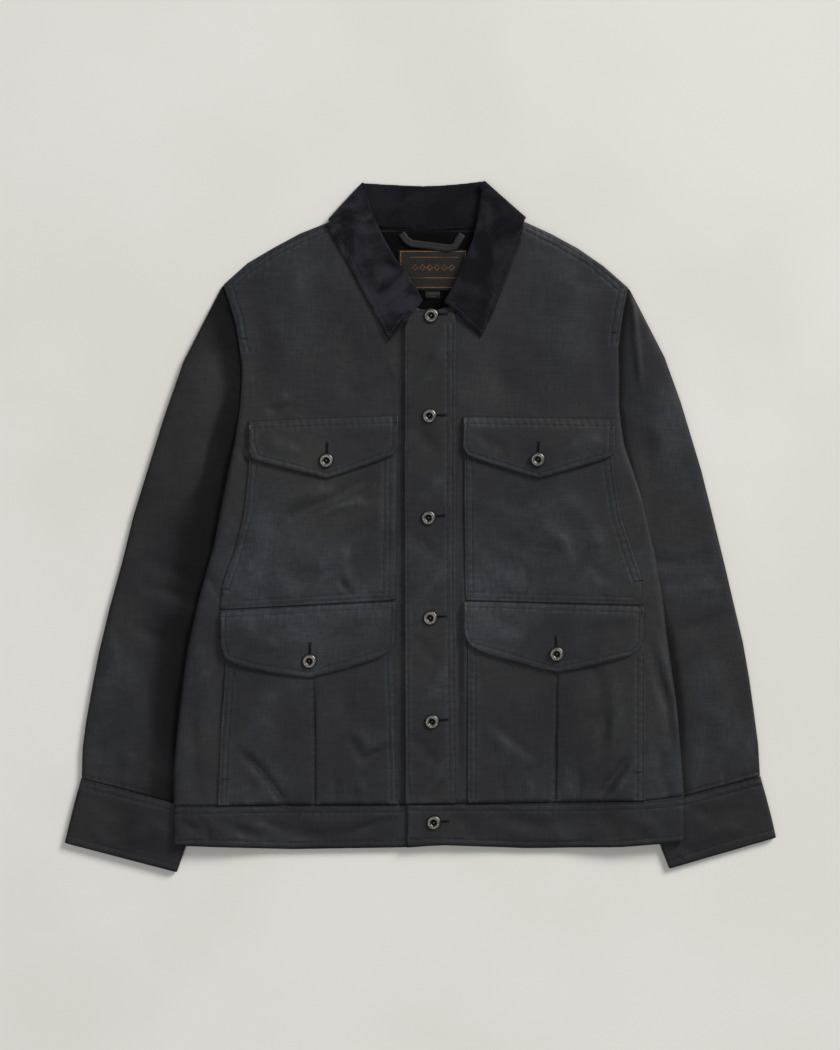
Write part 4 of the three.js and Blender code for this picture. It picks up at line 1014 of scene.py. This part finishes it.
placket = cut_piece("placket", cell=3.6 * MM, seams=PLACKET_SEAMS)
crease([placket], PLACKET_CREASES)
crease([front_left], BUCKLE_CREASES)
pull_down([placket], PLACKET_SEAMS, pucker=0.13)
finish_cloth(placket, sleeve_cloth, creases=PLACKET_CREASES, rows=PLACKET_SEAMS)
placket_sewing = bmesh.new()
over_placket = top_of([placket, front_left])
for row in PLACKET_SEAMS:
    sew_row(placket_sewing, over_placket, row)
placket_thread = sewn("placket_thread", placket_sewing)


# Inside of the back neck
# The dark lining shows between the collar's leaves. A woven label with an orange border and a row of
# small diamonds is sewn on it, with a size tab under it and a tape loop, to hang the jacket by, above.
LABEL_FRAME = [(-22, 307.5), (50.5, 307.5), (50.5, 267.5), (-22, 267.5), (-22, 307.5)]
LABEL_LINES = [[(-12, 301), (41, 301)], [(-12, 278), (41, 278)]]
DIAMOND_ROW = {"first_x": -6, "pitch": 8.2, "count": 6, "y": 289.5, "half": 3.0}


def lining_effect():
    group, _, out = new_effect(
        "dark twill lining",
        [("Yarn", "NodeSocketColor", srgb(6, 6, 7)), ("Dust", "NodeSocketColor", srgb(14, 13, 14))],
        [("Color", "NodeSocketColor"), ("Roughness", "NodeSocketFloat"), ("Height", "NodeSocketFloat")],
    )
    given = group.nodes["Group Input"]
    place = group.nodes.new("ShaderNodeTexCoord").outputs["Object"]
    twill = threads(group, turned(group, place, 40), "X", 1.1 * MM)
    clouds = noise(group, place, 60.0, 3.0)
    colour = mixed(group, between(group, clouds, 0.4, 0.7, 0.0, 0.5), given.outputs["Yarn"], given.outputs["Dust"])
    group.links.new(colour, out.inputs["Color"])
    group.links.new(between(group, clouds, 0.3, 0.7, 0.75, 0.9), out.inputs["Roughness"])
    group.links.new(twill, out.inputs["Height"])
    return group


LINING = lining_effect()
neck_lining = surface_material("neck_lining", LINING, 0.15, specular=0.05)
label_weave = surface_material(
    "label_weave",
    LINING,
    0.12,
    specular=0.25,
    yarn=srgb(26, 25, 23),
    dust=srgb(39, 38, 34),
)
tab_weave = surface_material("tab_weave", LINING, 0.1, specular=0.25, yarn=srgb(26, 25, 25), dust=srgb(40, 39, 37))
orange_thread = surface_material(
    "orange_thread",
    THREAD,
    0.05,
    thread=srgb(205, 138, 66),
    shade=srgb(120, 78, 40),
)

pale_thread = surface_material("pale_thread", THREAD, 0.05, thread=srgb(112, 110, 105), shade=srgb(60, 59, 56))

neck_facing = cut_piece("neck_facing", cell=3.5 * MM)
finish_cloth(neck_facing, neck_lining)
neck_label = cut_piece("neck_label", cell=3 * MM, melt=3)
finish_cloth(neck_label, label_weave)
size_tab = cut_piece("size_tab", cell=3 * MM, melt=1)
finish_cloth(size_tab, tab_weave)
hanger_loop = cut_piece("hanger_loop", cell=2.2 * MM, melt=2)
finish_cloth(hanger_loop, sleeve_cloth)

label_sewing = bmesh.new()
over_label = top_of([neck_label])
for row in [LABEL_FRAME, *LABEL_LINES]:
    sew_row(label_sewing, over_label, row, length=1.5, gap=0.1)
for i in range(DIAMOND_ROW["count"]):
    x = DIAMOND_ROW["first_x"] + i * DIAMOND_ROW["pitch"]
    y, half = DIAMOND_ROW["y"], DIAMOND_ROW["half"]
    diamond = [(x - half, y), (x, y + half), (x + half, y), (x, y - half), (x - half, y)]
    sew_row(label_sewing, over_label, diamond, length=1.3, gap=0.05)
label_thread = sewn("label_thread", label_sewing, orange_thread)

tab_sewing = bmesh.new()
tab_low, tab_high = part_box("size_tab")
tab_x = (tab_low.x + tab_high.x) / 2 / MM
tab_y = (tab_low.y + tab_high.y) / 2 / MM
over_tab = top_of([size_tab])
for rise, half in ((1.4, 4.6), (-1.4, 3.0)):
    sew_row(tab_sewing, over_tab, [(tab_x - half, tab_y + rise), (tab_x + half, tab_y + rise)], length=1.2, gap=0.6)
tab_thread = sewn("tab_thread", tab_sewing, pale_thread)

loop_sewing = bmesh.new()
over_loop = top_of([hanger_loop])
sew_row(loop_sewing, over_loop, [(-17, 325), (-12, 318.5), (37, 312.5), (43, 324)], length=2.0, gap=0.7)
loop_thread = sewn("loop_thread", loop_sewing)


# Collar
# One piece of fine-ribbed cotton cord, folded over: a stand behind the neck, and two leaves that lie on
# the fronts. Its ribs run up and down behind the neck and slant across the leaves.
ROLL_RIGHT = [(-66.5, 386.4), (-60.9, 356.2), (-47.4, 336.0), (-30.6, 305.8), (-7.1, 271.0), (3.0, 254.2)]
ROLL_LEFT = [(72.4, 387.5), (69.0, 356.2), (62.3, 331.5), (51.1, 302.4), (37.7, 271.0), (25.4, 255.4)]
LEAF_RIGHT_EDGE = [(-66.5, 386.4), (-87.8, 362.9), (-100.1, 349.4), (-107.9, 340.5), (-76.6, 284.5), (-53.0, 239.7), (-34.6, 207.2), (-1.1, 248.3)]
LEAF_LEFT_EDGE = [(72.4, 387.5), (98.2, 365.1), (115.0, 350.6), (123.4, 343.1), (100.4, 286.7), (85.8, 247.5), (69.5, 211.2), (28.7, 246.4)]
NECK_SEAM = [(-48.6, 336.0), (-39.6, 332.2), (8.6, 333.1), (57.8, 336.0), (63.4, 339.4)]
ROLL_TOPS = [[(-66.5, 386.4), (-62.5, 365), (-57, 350)], [(72.4, 387.5), (70, 365), (68, 352)]]
ROLL_REACHES = (15, 10, 6)
ROLL_MELT = 14
RIB_PITCH = 2.1 * MM
COLLAR_CREASES = crease_rows(
    [
        ([(-76.6, 359.5), (-65.4, 320.3), (-45.2, 269.9)], 9, 0.9),
        ([(-92.2, 337.1), (-78.8, 303.5), (-58.6, 264.3)], 8, -0.6),
        ([(94.8, 359.5), (87.0, 314.7), (73.5, 264.3)], 9, 0.9),
        ([(111.6, 337.1), (98.2, 300.2), (84.7, 262.1)], 7, -0.6),
        ([(-39.6, 233.0), (-27.3, 241.9), (-13.8, 253.1)], 6, 0.6),
        ([(-34.0, 365.1), (5.2, 358.4), (44.4, 365.1)], 9, 0.7),
        ([(55.6, 376.3), (60.1, 359.5), (57.8, 340.5)], 5, -0.8),
    ]
)


def corduroy_effect():
    group, given, out = new_effect(
        "fine corduroy",
        [("Pile", "NodeSocketColor", srgb(11, 10, 15)), ("Brushed", "NodeSocketColor", srgb(42, 41, 49))],
        [("Color", "NodeSocketColor"), ("Roughness", "NodeSocketFloat"), ("Height", "NodeSocketFloat")],
    )
    place = group.nodes.new("ShaderNodeTexCoord").outputs["Object"]
    on_right, on_left = attribute(group, "leaf_right"), attribute(group, "leaf_left")
    wobble = noise(group, place, 45.0, 2.0)
    bent = add_node(group, "ShaderNodeVectorMath", operation="MULTIPLY_ADD")
    group.links.new(wobble, bent.inputs[0])
    bent.inputs[1].default_value = (0.0016, 0.0016, 0.0)
    group.links.new(place, bent.inputs[2])
    upright = threads(group, bent.outputs["Vector"], "X", RIB_PITCH)
    slant_right = threads(group, turned(group, bent.outputs["Vector"], 24), "Y", RIB_PITCH)
    slant_left = threads(group, turned(group, bent.outputs["Vector"], -24), "Y", RIB_PITCH)
    ribs = maths(group, "MULTIPLY", upright, maths(group, "SUBTRACT", 1.0, maths(group, "ADD", on_right, on_left)))
    ribs = maths(group, "ADD", ribs, maths(group, "MULTIPLY", slant_right, on_right))
    ribs = maths(group, "ADD", ribs, maths(group, "MULTIPLY", slant_left, on_left))
    nap = noise(group, place, 26.0, 4.0, 0.6, 0.8)
    fibres = noise(group, place, 900.0, 2.0)
    brushed_and_sheen = maths(group, "MULTIPLY", between(group, nap, 0.36, 0.66), between(group, ribs, 0.2, 0.8, 0.55, 1.0))
    # Painted sheen: the brushed pile shows most on the right leaf, less on the left leaf and least on the stand.
    painted_sheen = maths(group, "ADD", maths(group, "MULTIPLY", on_right, 0.8), maths(group, "MULTIPLY", on_left, 0.3))
    brushed_and_sheen = maths(group, "MULTIPLY", brushed_and_sheen, maths(group, "ADD", painted_sheen, 0.3))
    colour = mixed(group, brushed_and_sheen, given.outputs["Pile"], given.outputs["Brushed"])
    group.links.new(colour, out.inputs["Color"])
    group.links.new(between(group, fibres, 0.3, 0.7, 0.8, 0.95), out.inputs["Roughness"])
    height = maths(group, "ADD", ribs, maths(group, "MULTIPLY", fibres, 0.25))
    group.links.new(height, out.inputs["Height"])
    return group


CORDUROY = corduroy_effect()
collar_cord = surface_material("collar_corduroy", CORDUROY, 0.16, specular=0.1, sheen=0.1)
collar_thread = surface_material("collar_thread", THREAD, 0.05, thread=srgb(62, 61, 73), shade=srgb(30, 29, 36))


def leaf_mask(points, roll, edge):
    """1 on a leaf and 0 off it, from the area between its roll line and its outer edge."""
    ring = [Vector(p) for p in [*roll, *reversed(edge)]]
    inside = np.zeros(len(points), bool)
    x, y = points[:, 0] / MM, points[:, 1] / MM
    for a, b in zip(ring, [*ring[1:], ring[0]]):
        crosses = (a.y > y) != (b.y > y)
        where = (b.x - a.x) * (y - a.y) / ((b.y - a.y) or 1e-9) + a.x
        inside ^= crosses & (x < where)
    return inside


def rolled_soft(piece, cell, melt):
    """Turns a joined wall into one even skin and melts it, so that stand and leaves run into a soft roll."""
    even = piece.modifiers.new("even skin", "REMESH")
    even.mode = "VOXEL"
    even.voxel_size = cell
    shown = piece.evaluated_get(bpy.context.evaluated_depsgraph_get())
    skin = bmesh.new()
    skin.from_mesh(shown.to_mesh())
    shown.to_mesh_clear()
    piece.modifiers.clear()
    for _ in range(melt):
        bmesh.ops.smooth_vert(skin, verts=skin.verts, factor=0.5, use_axis_x=True, use_axis_y=True, use_axis_z=True)
    places = np.array([vert.co.xy[:] for vert in skin.verts])
    for reach in ROLL_REACHES:
        near = seam_distance(places, ROLL_TOPS) < reach * MM
        rolling = [vert for vert, close in zip(skin.verts, near) if close and vert.co.z > 9 * MM]
        for _ in range(ROLL_MELT):
            bmesh.ops.smooth_vert(
                skin,
                verts=rolling,
                factor=0.5,
                use_axis_x=False,
                use_axis_y=False,
                use_axis_z=True,
            )
    skin.to_mesh(piece.data)
    skin.free()
    piece.data.polygons.foreach_set("use_smooth", [True] * len(piece.data.polygons))


COLLAR_SEAMS = [beside(LEAF_RIGHT_EDGE[3:], 6.2), beside(LEAF_LEFT_EDGE[3:], -6.2), NECK_SEAM]
collar = cut_piece("collar", cell=6 * MM, melt=0)
rolled_soft(collar, 1.2 * MM, 5)
crease([collar], COLLAR_CREASES, from_z=9 * MM)
pull_down([collar], COLLAR_SEAMS, depth=0.35)
finish_cloth(collar, collar_cord)
collar_points = read_points(collar)
on_top = collar_points[:, 2] > 3 * MM
for name, roll, edge in (
    ("leaf_right", ROLL_RIGHT, [*LEAF_RIGHT_EDGE[1:], (3.0, 254.2)]),
    ("leaf_left", ROLL_LEFT, [*LEAF_LEFT_EDGE[1:], (25.4, 255.4)]),
):
    mask = collar.data.attributes.new(name, "FLOAT", "POINT")
    on_leaf = leaf_mask(collar_points, roll, edge) & on_top
    mask.data.foreach_set("value", on_leaf.astype(np.float32))
collar_sewing = bmesh.new()
over_collar = top_of([collar])
for row in COLLAR_SEAMS:
    sew_row(collar_sewing, over_collar, row, length=2.2, gap=0.8)
collar_sewn = sewn("collar_thread", collar_sewing, collar_thread)


# Buttonholes
# Each hole is a slit worked round with close stitches and closed by a bar: crosswise from the front
# buttons toward the wearer's left, and upright above each pocket button. A thin near-black sliver in
# each slit is painted shade.
SLIT_HALF_WIDTH = 0.7
HOLES = {
    "button_front_1": ((12.5, 236.3), (1, 0.03), 17.5),
    "button_front_2": ((10.0, 123.5), (1, 0.02), 18.5),
    "button_front_3": ((9.4, 10.4), (1, 0.06), 18.5),
    "button_front_4": ((11.0, -101.6), (1, 0.02), 18.0),
    "button_front_5": ((12.8, -217.7), (1, 0.05), 18.0),
    "button_front_6": ((14.6, -331.1), (1, 0.03), 17.0),
    "button_chest_right": ((-104.6, 73.9), (0.02, 1), 19.0),
    "button_chest_left": ((131.0, 75.2), (0.04, 1), 19.0),
    "button_lower_right": ((-123.8, -149.9), (0.03, 1), 19.0),
    "button_lower_left": ((151.6, -141.9), (-0.03, 1), 19.0),
}


def cloth_under(button):
    if button == "button_front_6":
        return PIECES["waistband"]
    if button.startswith("button_front"):
        return PIECES["placket"]
    return PIECES[button.replace("button_chest", "chest_flap").replace("button_lower", "lower_flap")]


hole_thread = surface_material("buttonhole_thread", THREAD, 0.05, thread=srgb(21, 21, 27), shade=srgb(11, 11, 14))
hole_sewing = bmesh.new()
slit_shade = bmesh.new()
for button, (centre, way, reach) in HOLES.items():
    meet = top_of([cloth_under(button)])
    along = Vector(way).normalized()
    across = Vector((-along.y, along.x))
    start = Vector(centre) + along * 2
    for i in range(round((reach - 2) / 0.62)):
        for side in (-1, 1):
            spot = (start + along * i * 0.62 + across * side * (SLIT_HALF_WIDTH + 0.45)) * MM
            hit = meet(spot.x, spot.y)
            if hit is not None:
                painted_sheen = Vector((across.x + along.x * 0.15, across.y + along.y * 0.15, 0))
                one_stitch(hole_sewing, hit[0], hit[1], painted_sheen, 1.7 * MM, 0.66 * MM)
    end = Vector(centre) + along * (reach + 0.4)
    bar_tack(hole_sewing, meet, [end - across * 1.7, end + across * 1.7])
    # Painted shade: a thin near-black sliver in the lining's colour lies along the slit.
    middle = (start + along * (reach - 2) / 2) * MM
    hit = meet(middle.x, middle.y)
    slit_along = Vector((along.x, along.y, 0))
    slit_along = (slit_along - hit[1] * slit_along.dot(hit[1])).normalized()
    turn = Matrix((slit_along, hit[1].cross(slit_along), hit[1])).transposed().to_4x4()
    size = Matrix.Diagonal(((reach - 1.5) * MM / 2, SLIT_HALF_WIDTH * MM, 0.35 * MM, 1))
    bmesh.ops.create_icosphere(
        slit_shade,
        subdivisions=2,
        radius=1.0,
        matrix=Matrix.Translation(hit[0] + hit[1] * 0.1 * MM) @ turn @ size,
    )
hole_stitches = sewn("buttonhole_thread", hole_sewing, hole_thread)
hole_slit_shade = sewn("buttonhole_slit_shade", slit_shade, neck_lining)


# Buttons
# Ten pressed metal caps, 16.5 mm across: a rolled ring round a sunk middle with a small tube rivet.
# They are gunmetal, rubbed bright on the ring, with painted shade near black in the sunk middle, and
# hold to a tack behind the cloth.
BUTTON_PROFILE = [
    (0.0, 1.35),
    (0.6, 1.3),
    (0.95, 1.0),
    (1.05, 0.55),
    (2.2, 0.5),
    (2.75, 0.8),
    (3.0, 1.5),
    (3.5, 2.05),
    (4.3, 2.35),
    (5.4, 2.5),
    (6.4, 2.42),
    (7.2, 2.1),
    (7.9, 1.5),
    (8.25, 0.9),
    (8.1, 0.4),
    (7.4, 0.12),
    (0.0, 0.0),
]
BUTTON_STEPS = 48
HOLE_SHADE = 1.0
RING_RADIUS = 5.4


def gunmetal_effect():
    group, given, out = new_effect(
        "worn gunmetal",
        [("Metal", "NodeSocketColor", srgb(44, 44, 46)), ("Bright", "NodeSocketColor", srgb(122, 120, 113))],
        [("Color", "NodeSocketColor"), ("Roughness", "NodeSocketFloat"), ("Height", "NodeSocketFloat")],
    )
    place = group.nodes.new("ShaderNodeTexCoord").outputs["Object"]
    blotches = noise(group, place, 620.0, 4.0, 0.65)
    scratches = noise(group, stretched(group, turned(group, place, 30), (1400.0, 160.0, 900.0)), 1.0, 3.0)
    rub_and_shade = attribute(group, "wear_and_shade")
    bright = maths(group, "MULTIPLY", maths(group, "MAXIMUM", rub_and_shade, 0.0), between(group, blotches, 0.34, 0.6, 0.15, 1.0))
    colour = mixed(group, bright, given.outputs["Metal"], given.outputs["Bright"])
    # Painted shade: where the mask is below 0, in the sunk middle, the colour goes near black.
    hole_shade = between(group, rub_and_shade, 0.0, -0.6)
    colour = mixed(group, hole_shade, colour, srgb(6, 6, 6))
    group.links.new(colour, out.inputs["Color"])
    rough = maths(group, "ADD", between(group, scratches, 0.3, 0.7, 0.28, 0.46), maths(group, "MULTIPLY", bright, -0.08))
    group.links.new(rough, out.inputs["Roughness"])
    height = maths(group, "ADD", blotches, maths(group, "MULTIPLY", scratches, 0.5))
    group.links.new(height, out.inputs["Height"])
    return group


GUNMETAL = gunmetal_effect()
button_metal = surface_material("button_gunmetal", GUNMETAL, 0.06, specular=0.5, metallic=0.9)

for button in HOLES:
    low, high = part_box(button)
    centre = Vector(((low.x + high.x) / 2, (low.y + high.y) / 2, low.z))
    cap = bmesh.new()
    verts = [cap.verts.new((radius * MM, 0, height * MM)) for radius, height in BUTTON_PROFILE]
    edges = [cap.edges.new(pair) for pair in zip(verts[:-1], verts[1:])]
    bmesh.ops.spin(
        cap,
        geom=[*verts, *edges],
        cent=(0, 0, 0),
        axis=(0, 0, 1),
        angle=2 * math.pi,
        steps=BUTTON_STEPS,
        use_merge=True,
    )
    bmesh.ops.remove_doubles(cap, verts=cap.verts, dist=0.01 * MM)
    bmesh.ops.recalc_face_normals(cap, faces=cap.faces)
    radii = [math.hypot(vert.co.x, vert.co.y) / MM for vert in cap.verts]
    bmesh.ops.translate(cap, vec=centre, verts=cap.verts)
    piece = sewn(button + "_cap", cap, button_metal)
    # The mask is above 0 where the ring and rivet are rubbed bright, and below 0 in the sunk middle, as painted
    # shade.
    rub_and_shade = []
    for radius in radii:
        on_ring = math.exp(-(((radius - RING_RADIUS) / 1.9) ** 4))
        on_rivet = math.exp(-((radius / 0.8) ** 4))
        rub_and_shade.append(on_ring + on_rivet - HOLE_SHADE * math.exp(-(((radius - 1.9) / 0.8) ** 4)))
    mask = piece.data.attributes.new("wear_and_shade", "FLOAT", "POINT")
    mask.data.foreach_set("value", rub_and_shade)
    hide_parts(button)


# Surface, light and camera
# A pale warm grey tabletop, one broad soft light high on the right, and a weak even light all round.
# The camera looks straight down from above the middle of the photograph.
FLOOR_HALF = 4.0
PIXEL = 1.12 * MM
FRAME_LONG = 1050 * PIXEL
LENS = 80
SENSOR = 36
CAMERA_PLACE = (-0.0004, 0.0011)


def tabletop_effect():
    group, given, out = new_effect(
        "painted tabletop",
        [("Paint", "NodeSocketColor", srgb(218, 216, 210)), ("Shade", "NodeSocketColor", srgb(213, 211, 204))],
        [("Color", "NodeSocketColor"), ("Roughness", "NodeSocketFloat"), ("Height", "NodeSocketFloat")],
    )
    place = group.nodes.new("ShaderNodeTexCoord").outputs["Object"]
    clouds = noise(group, place, 3.0, 3.0)
    grain = noise(group, place, 260.0, 3.0)
    colour = mixed(group, between(group, clouds, 0.35, 0.65), given.outputs["Paint"], given.outputs["Shade"])
    group.links.new(colour, out.inputs["Color"])
    group.links.new(between(group, grain, 0.3, 0.7, 0.8, 0.9), out.inputs["Roughness"])
    group.links.new(grain, out.inputs["Height"])
    return group


tabletop_paint = surface_material("tabletop_paint", tabletop_effect(), 0.03, specular=0.2)
top = bmesh.new()
bmesh.ops.create_grid(top, x_segments=8, y_segments=8, size=FLOOR_HALF)
tabletop_mesh = bpy.data.meshes.new("tabletop")
top.to_mesh(tabletop_mesh)
top.free()
tabletop_mesh.materials.append(tabletop_paint)
tabletop = bpy.data.objects.new("tabletop", tabletop_mesh)
bpy.context.collection.objects.link(tabletop)


def window(name, place, aim, width, height, power, colour):
    light = bpy.data.lights.new(name, "AREA")
    light.shape = "RECTANGLE"
    light.size = width
    light.size_y = height
    light.energy = power
    light.color = colour
    lamp = bpy.data.objects.new(name, light)
    bpy.context.collection.objects.link(lamp)
    lamp.location = place
    lamp.rotation_euler = (Vector(aim) - Vector(place)).to_track_quat("-Z", "Y").to_euler()
    return lamp


window("soft_window", (7.7, 7.2, 6.9), (0, 0, 0), 4.4, 4.4, 1640, (1.0, 0.985, 0.965))
window("wide_fill", (-0.8, -0.8, 4.2), (0, 0, 0), 3.0, 3.0, 44, (0.96, 0.98, 1.0))

scene = bpy.context.scene
scene.view_settings.view_transform = "Standard"
world = bpy.data.worlds.new("room")
world.use_nodes = True
world.node_tree.nodes["Background"].inputs["Color"].default_value = (0.97, 0.97, 1.0, 1.0)
world.node_tree.nodes["Background"].inputs["Strength"].default_value = 0.3
scene.world = world

camera_data = bpy.data.cameras.new("overhead")
camera_data.lens = LENS
camera_data.sensor_width = SENSOR
camera = bpy.data.objects.new("overhead", camera_data)
bpy.context.collection.objects.link(camera)
camera.location = (*CAMERA_PLACE, LENS * FRAME_LONG / SENSOR + 8 * MM)
scene.camera = camera
